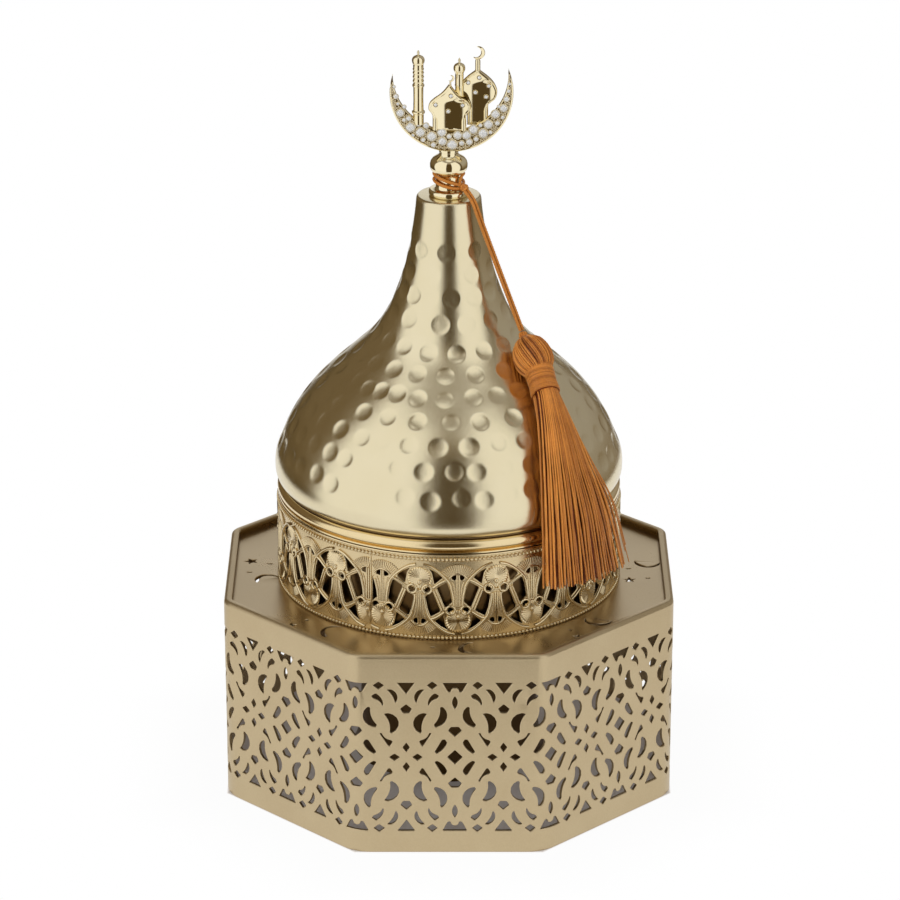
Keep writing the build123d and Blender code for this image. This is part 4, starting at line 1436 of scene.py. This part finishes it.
def domed_plate(bench, outline, face, back, edge=0.35):
    """Adds a casting from an outline in X and Z with a rounded front edge; face(x, z) is how far back its
    front lies."""
    rim = anticlockwise(outline)
    count = len(rim)
    rings = []
    for inset, drop in ((0.0, None), (0.0, edge), (edge * 0.3, edge * 0.35), (edge, 0.0)):
        line = moved_in(rim, inset) if inset else rim
        rings.append([Vector((x, back if drop is None else face(x, z) + drop, z)) for x, z in line])
    _, triangles = pierced(rim, [])
    faces = ring_faces(4, count, ends=False) + [t[::-1] for t in triangles]
    bench.add([p for ring in rings for p in ring], faces)
    inner = [(p.x, p.z) for p in rings[3]]
    room = moved_in(rim, edge + 0.4)
    net = 0.7
    low, high = min(p[1] for p in rim), max(p[1] for p in rim)
    spots = [(x, z) for x in np.arange(min(rim)[0], max(rim)[0], net) for z in np.arange(low, high, net)
             if within(room, x, z)]
    points, triangles = pierced(inner, [], spots=spots)
    bench.add([Vector((x, face(x, z), z)) for x, z in points], triangles)


def crescent_line():
    """Outline of the moon on its back, from tip to tip and back along its hollow."""
    lift = hollow_centre - crescent_centre
    tip_up = (crescent_radius**2 - hollow_radius**2 + lift**2) / (2 * lift) - 0.4
    tip_x = math.sqrt(crescent_radius**2 - tip_up**2)
    inner_x = math.sqrt(hollow_radius**2 - (tip_up - lift) ** 2)
    tip = crescent_centre + tip_up
    return [
        (-tip_x, tip),
        *arc((-tip_x, tip), (0.0, crescent_centre - crescent_radius), (tip_x, tip), moon_steps),
        *arc((inner_x, tip), (0.0, hollow_centre - hollow_radius), (-inner_x, tip), moon_steps),
    ]


def cut_stone(bench, x, z, y, size):
    """Adds a brilliant: table, crown facets, girdle and pavilion, facing the front."""
    sides = 8
    rings = [(0.42, -0.5), (0.76, -0.32), (1.0, -0.02), (1.0, 0.06), (0.5, 0.5)]
    points = []
    for r, (reach, out) in enumerate(rings):
        for j in range(sides):
            turn = math.tau * (j + 0.5 * (r % 2)) / sides
            wide = size * reach
            points.append((x + wide * math.cos(turn), y + size * out, z + wide * math.sin(turn)))
    faces = [[j for j in reversed(range(sides))], [(len(rings) - 1) * sides + j for j in range(sides)]]
    for a, b, d, c in ring_faces(len(rings), sides, ends=False):
        faces += [[a, b, d], [a, d, c]] if a // sides % 2 else [[a, b, c], [b, d, c]]
    bench.add(points, [f[::-1] for f in faces])


def setting(bench, x, z, y, size):
    """Adds the gold seat of a stone: a ring with four grains pushed over its edge."""
    loop = [(a, y, b) for a, b in round_hole(x, z, size * 1.06, 16)]
    tube(bench, loop, 0.10 * size + 0.08, closed=True)
    for a, b in round_hole(x, z, size * 0.98, 8)[1::2]:
        lump(bench, (a, y - 0.2 * size, b), 0.1 + 0.14 * size, sides=6, rows=4)


# Stones of the moon: across from the stem, up from the moon's middle, and half their width
pave_stones = [
    (-17.8, 2.2, 0.45), (-17.2, -1.1, 0.8), (-16.6, -3.6, 0.5), (-15.8, -6.7, 1.25), (-14.5, -4.6, 0.6),
    (-14.6, -9.1, 0.6), (-13.1, -8.6, 0.8), (-12.5, -11.6, 1.5), (-9.9, -10.4, 0.9), (-9.3, -13.3, 1.45),
    (-11.7, -14.3, 0.5), (-7.4, -11.0, 0.9), (-5.6, -14.7, 1.5), (-8.4, -15.9, 0.7), (-2.3, -13.3, 1.4),
    (-5.0, -17.6, 0.8), (-2.1, -16.4, 1.3), (0.1, -14.7, 0.75), (1.1, -17.6, 1.6), (2.9, -14.3, 1.3),
    (4.2, -17.0, 0.8), (5.8, -14.3, 1.35), (6.7, -16.6, 1.0), (8.0, -12.3, 1.4), (8.9, -15.6, 0.75),
    (11.2, -13.7, 1.5), (10.3, -10.9, 0.6), (12.9, -10.6, 1.4), (13.6, -13.3, 0.6), (15.2, -7.1, 1.35),
    (15.8, -10.2, 0.75), (17.6, -8.2, 0.6), (17.9, -5.1, 1.2), (16.3, -4.5, 0.5), (18.8, -2.0, 0.9),
    (19.5, 0.7, 0.6), (19.8, 3.1, 0.45),
]


def crescent_and_stones():
    """The moon: a thin smooth rim round a bed of grains and cut stones."""
    bench = Bench()
    outline = [on_moon(x, z) for x, z in crescent_line()]
    count = len(outline)
    fat = [math.sqrt(max(0.0, math.sin(math.pi * (i % moon_steps) / moon_steps))) for i in range(count)]
    fat[0] = fat[moon_steps] = 0.0

    def narrower(inset):
        return [(a + (c - a) * f, b + (d - b) * f)
                for (a, b), (c, d), f in zip(outline, moved_in(outline, inset), fat)]

    for line, y in ((outline, 1.1), (outline, -0.75), (narrower(0.12), -0.95), (narrower(0.3), -1.0)):
        bench.add([(x, y, z) for x, z in line], [])
    _, triangles = pierced(outline, [])
    bench.faces += ring_faces(4, count, ends=False)
    bench.faces += [[3 * count + i for i in t] for t in triangles] + [t[::-1] for t in triangles]
    tube(bench, [(x, -1.05, z) for x, z in narrower(0.4)[4:moon_steps - 3]], 0.28, 8)
    smooth_faces = len(bench.faces)
    stones = Bench()
    for x, up, size in pave_stones:
        z = crescent_centre + up
        cut_stone(stones, x, z, -1.25, size)
        setting(bench, x, z, -1.15, size)
    bed = narrower(0.75)
    grain, across, up = 0.34, 0.62, 0.72
    for i, x in enumerate(np.arange(-20, 22, across)):
        for z in np.arange(218.5 + up / 2 * (i % 2), 246, up):
            gap = min(math.hypot(x - a, z - crescent_centre - b) - size for a, b, size in pave_stones)
            if gap > 0.38 and within(bed, x, z):
                lump(bench, (x, -1.1, z), grain, sides=6, rows=4)
    made = ornament(bench, "crescent_setting", "crescent_plate")
    made.data.materials.append(grain_gold)
    for face in made.data.polygons[smooth_faces:]:
        face.material_index = 1
    return stones


def cap_of(tip, shaft, cap):
    """Top of a tower: bulb, neck and spike, up from its shaft."""
    return [(shaft, tip - 5.0), (cap * 0.86, tip - 4.6), (cap * 0.97, tip - 4.0), (cap, tip - 3.4),
            (cap * 0.93, tip - 2.7), (cap * 0.72, tip - 2.15), (cap * 0.4, tip - 1.8), (0.34, tip - 1.6),
            (0.3, tip - 1.45), (0.44, tip - 1.1), (0.38, tip - 0.6), (0.08, tip)]


def minarets():
    """Tall notched tower with two ring galleries at the left, and a short one in the middle."""
    tall = [(1.75, 227.6), (1.75, 231.0), (2.1, 231.3), (2.15, 231.9), (1.7, 232.2), (1.62, 236.0),
            (1.66, 240.2), (1.95, 240.4), (1.98, 240.9), (1.7, 241.2)]
    for notch in (242.2, 243.6, 245.0, 246.2):
        tall += [(1.68, notch - 0.35), (1.86, notch - 0.1), (1.86, notch + 0.1), (1.68, notch + 0.35)]
    short = [(1.4, 234.3), (1.4, 240.2), (1.5, 240.4), (1.5, 240.7), (1.4, 240.9), (1.4, 243.0)]
    for node, shaft, cap, middle in (("left_minaret", tall, cap_of(252.6, 1.7, 2.1), (-9.9, 0.0)),
                                     ("centre_minaret", short, cap_of(249.7, 1.4, 1.95), (3.45, 0.9))):
        bench = Bench()
        spun(bench, shaft + cap, 24, middle)
        ornament(bench, node + "_turned", node)


# Right half of each small dome's outline: out from its axis, and height
front_half = [(5.5, 225.6), (5.5, 230.5), (5.9, 231.4), (6.65, 232.2), (6.87, 233.4), (6.3, 235.0),
              (4.9, 236.4), (3.3, 237.5), (2.0, 238.7), (0.8, 240.2), (0.2, 241.0)]
back_half = [(3.4, 227.0), (3.4, 233.9), (4.4, 234.7), (5.8, 235.9), (6.33, 237.9), (6.1, 239.4),
             (5.06, 241.4), (3.25, 243.3), (1.2, 244.9), (0.4, 245.5)]


# Node, middle, outline, highest line, where its top begins to turn, front, back, stones, and the place, half
# width and top of its posts
small_dome_sizes = [
    ("front_dome", 0.22, front_half, 1.1, 235.0, -2.0, 0.2,
     [(0.5, 237.7), (-4.5, 234.4), (-0.4, 232.4), (4.3, 234.4)], (4.62, 0.75, 230.3)),
    ("back_dome", 9.44, back_half, 0.9, 240.8, 0.0, 2.2,
     [(0.5, 243.3), (-3.1, 241.4), (3.6, 240.4), (-0.8, 238.2), (2.7, 236.7)], (2.62, 0.7, 233.6)),
]


def little_moon(bench, x, z, y, radius, thick, start=90.0, sweep=-215.0):
    """Adds a tiny round-wire crescent that opens to the upper left."""
    path, sizes = [], []
    for i in range(21):
        share = i / 20
        turn = math.radians(start + sweep * share)
        path.append((x + radius * math.cos(turn), y, z + radius * math.sin(turn)))
        sizes.append(thick * (0.2 + 0.9 * math.sin(math.pi * share)))
    tube(bench, path, sizes, 8)


def small_domes(stones):
    """The two onion domes, with bowed faces, raised outlines, stones and their own little moons."""
    for node, x, half, high, fold, face_at, back, spots, (post, thick, top) in small_dome_sizes:
        right = [half[0]] + [tuple(p) for p in smooth_line(half[1:], 30)]
        line = [(x + a, b) for a, b in right] + [(x - a, b) for a, b in reversed(right)]

        def face(a, z):
            twist = easing((z - fold) / 2.2) * math.tan(math.radians(15))
            return face_at + bowed(a - x - high, 2.95, 12) - twist * (a - x)

        bench = Bench()
        domed_plate(bench, line, face, back, 0.3)
        tube(bench, [(a, face(a, z) + 0.02, z) for a, z in moved_in(line, 0.6)], 0.22, 6, closed=True)
        for a, z in spots:
            at, size = face(x + a, z), 0.66
            cut_stone(stones, x + a, z, at - 0.15, size)
            setting(bench, x + a, z, at - 0.08, size)
        for side in (-1, 1):
            a = x + side * post
            heights = np.linspace(half[0][1] + 0.2, top, 8)
            sizes = [thick] * 6 + [thick * 0.85, thick * 0.35]
            tube(bench, [(a, face(a, z) + 0.15, z) for z in heights], sizes, 10)
        if node == "front_dome":
            spun(bench, [(0.5, 240.3), (0.3, 241.4), (0.3, 242.3)], 12, (x + 0.3, -0.9))
            little_moon(bench, x + 0.3, 243.3, -0.9, 0.95, 0.36)
        else:
            spun(bench, [(0.95, 244.8), (0.85, 245.8), (0.85, 248.6), (0.6, 249.3)], 16, (x, 1.2))
        ornament(bench, node + "_cast", node, 0.003)
    bench = Bench()
    little_moon(bench, 9.2, 251.4, 1.2, 1.95, 0.62)
    ornament(bench, "top_moon", "top_crescent")


stones_bench = crescent_and_stones()
minarets()
small_domes(stones_bench)
stones_bench.piece("pave_stones", "lid", clear_stone, "clear_stone", ("clear_stones",), 5)


# Floor and light
def studio():
    """Dim room with a tall white screen at each side of the front, a grey ceiling and a white wall behind,
    which the metal shows; the camera and clear stones see plain white behind."""
    world = bpy.data.worlds.new("studio")
    scene.world = world
    finish = Finish("studio", world)
    x, y, z = finish.axes(finish.node("TexCoord").outputs["Generated"])
    bearing = x.maths("ARCTAN2", x, 0 - y) * math.degrees(1)
    lift = z.maths("ARCSINE", z) * math.degrees(1)
    left_screen = bearing.ramp(-100, -90) * (1 - bearing.ramp(-18, -14))
    right_screen = bearing.ramp(17, 21) * (1 - bearing.ramp(68, 80))
    tall = lift.ramp(-46, -34) * (1 - lift.ramp(60, 74))
    screens = (left_screen + right_screen) * tall * 0.98
    wall = bearing.size().ramp(158, 172) * (1 - lift.ramp(24, 40)) * 0.8
    ceiling = lift.ramp(38, 62) * 0.34 + lift.ramp(74, 84) * 0.6
    beside = bearing.size().ramp(78, 92) * (1 - bearing.size().ramp(150, 165)) * lift.ramp(-50, 15)
    beside = beside * (0.17 + bearing.over(0) * 0.2)
    strength = (screens + wall).most(ceiling).most(beside).most(0.08)
    tint = finish.blend(strength.ramp(0.05, 0.5), (1.0, 0.68, 0.28), white)
    plain = finish.ray("Camera").most(finish.ray("Transmission"))
    sockets = {"Color": finish.blend(plain, tint, white), "Strength": plain + (1 - plain) * strength}
    finish.show(finish.node("Background", sockets), "World")


def floor():
    """White table top that keeps a faint shadow round the stand and a plain one under it, with a faint painted warm
    glow there.
    """
    mesh = bpy.data.meshes.new("floor")
    side, front, back = 0.33, -0.24, 0.4
    corners = [(-side, front, 0), (side, front, 0), (side, back, 0), (-side, back, 0)]
    mesh.from_pydata(corners, [], [[0, 1, 2, 3]])
    table = put("floor", mesh)
    finish = Finish("floor_white")
    x, y = (axis.size() for axis in finish.axes(finish.place())[:2])
    out = x.most(y).most((x + y) * math.sqrt(0.5))
    outside = out.ramp(74.4, 75.4)
    clear = 0.10 + outside * (0.86 + 0.04 * out.ramp(76, 120))
    # Under the stand a tenth of the floor glows warm: painted light for what the gold walls throw onto the shaded
    # floor
    warm = finish.blend(outside, (1.0, 0.86, 0.78), white)
    glow = finish.node("Emission", {"Color": warm, "Strength": 1.0})
    paint = finish.node("BsdfDiffuse", {"Color": (0.82, 0.82, 0.82)})
    bright = finish.ray("Camera").most(finish.ray("Transmission")).most(finish.ray("Glossy") * 0.8)
    mix = finish.node("MixShader", {0: bright * clear, 1: paint.outputs[0], 2: glow.outputs[0]})
    mesh.materials.append(finish.show(mix))
    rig.stage(table)


def softbox(name, place, size, power):
    """Area lamp turned to the middle of the bowl; the screens stand in for it in the metal."""
    lamp = bpy.data.lights.new(name, "AREA")
    lamp.shape = "RECTANGLE"
    lamp.size, lamp.size_y = size
    lamp.energy = power
    holder = put(name, lamp)
    holder.location = place
    holder.rotation_mode = "QUATERNION"
    holder.rotation_quaternion = (Vector((0, 0, 0.12)) - Vector(place)).to_track_quat("-Z", "Y")
    holder.visible_glossy = False


studio()
floor()
softbox("left_box", (-0.95, -0.80, 0.75), (0.55, 0.9), 4.0)
softbox("right_box", (1.0, -0.72, 0.85), (0.5, 0.8), 3.0)

visual_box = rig.bounds()
with open("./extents.json", "w") as out:
    json.dump({"cad": [list(p) for p in cad_box], "visual": [list(p) for p in visual_box]}, out)
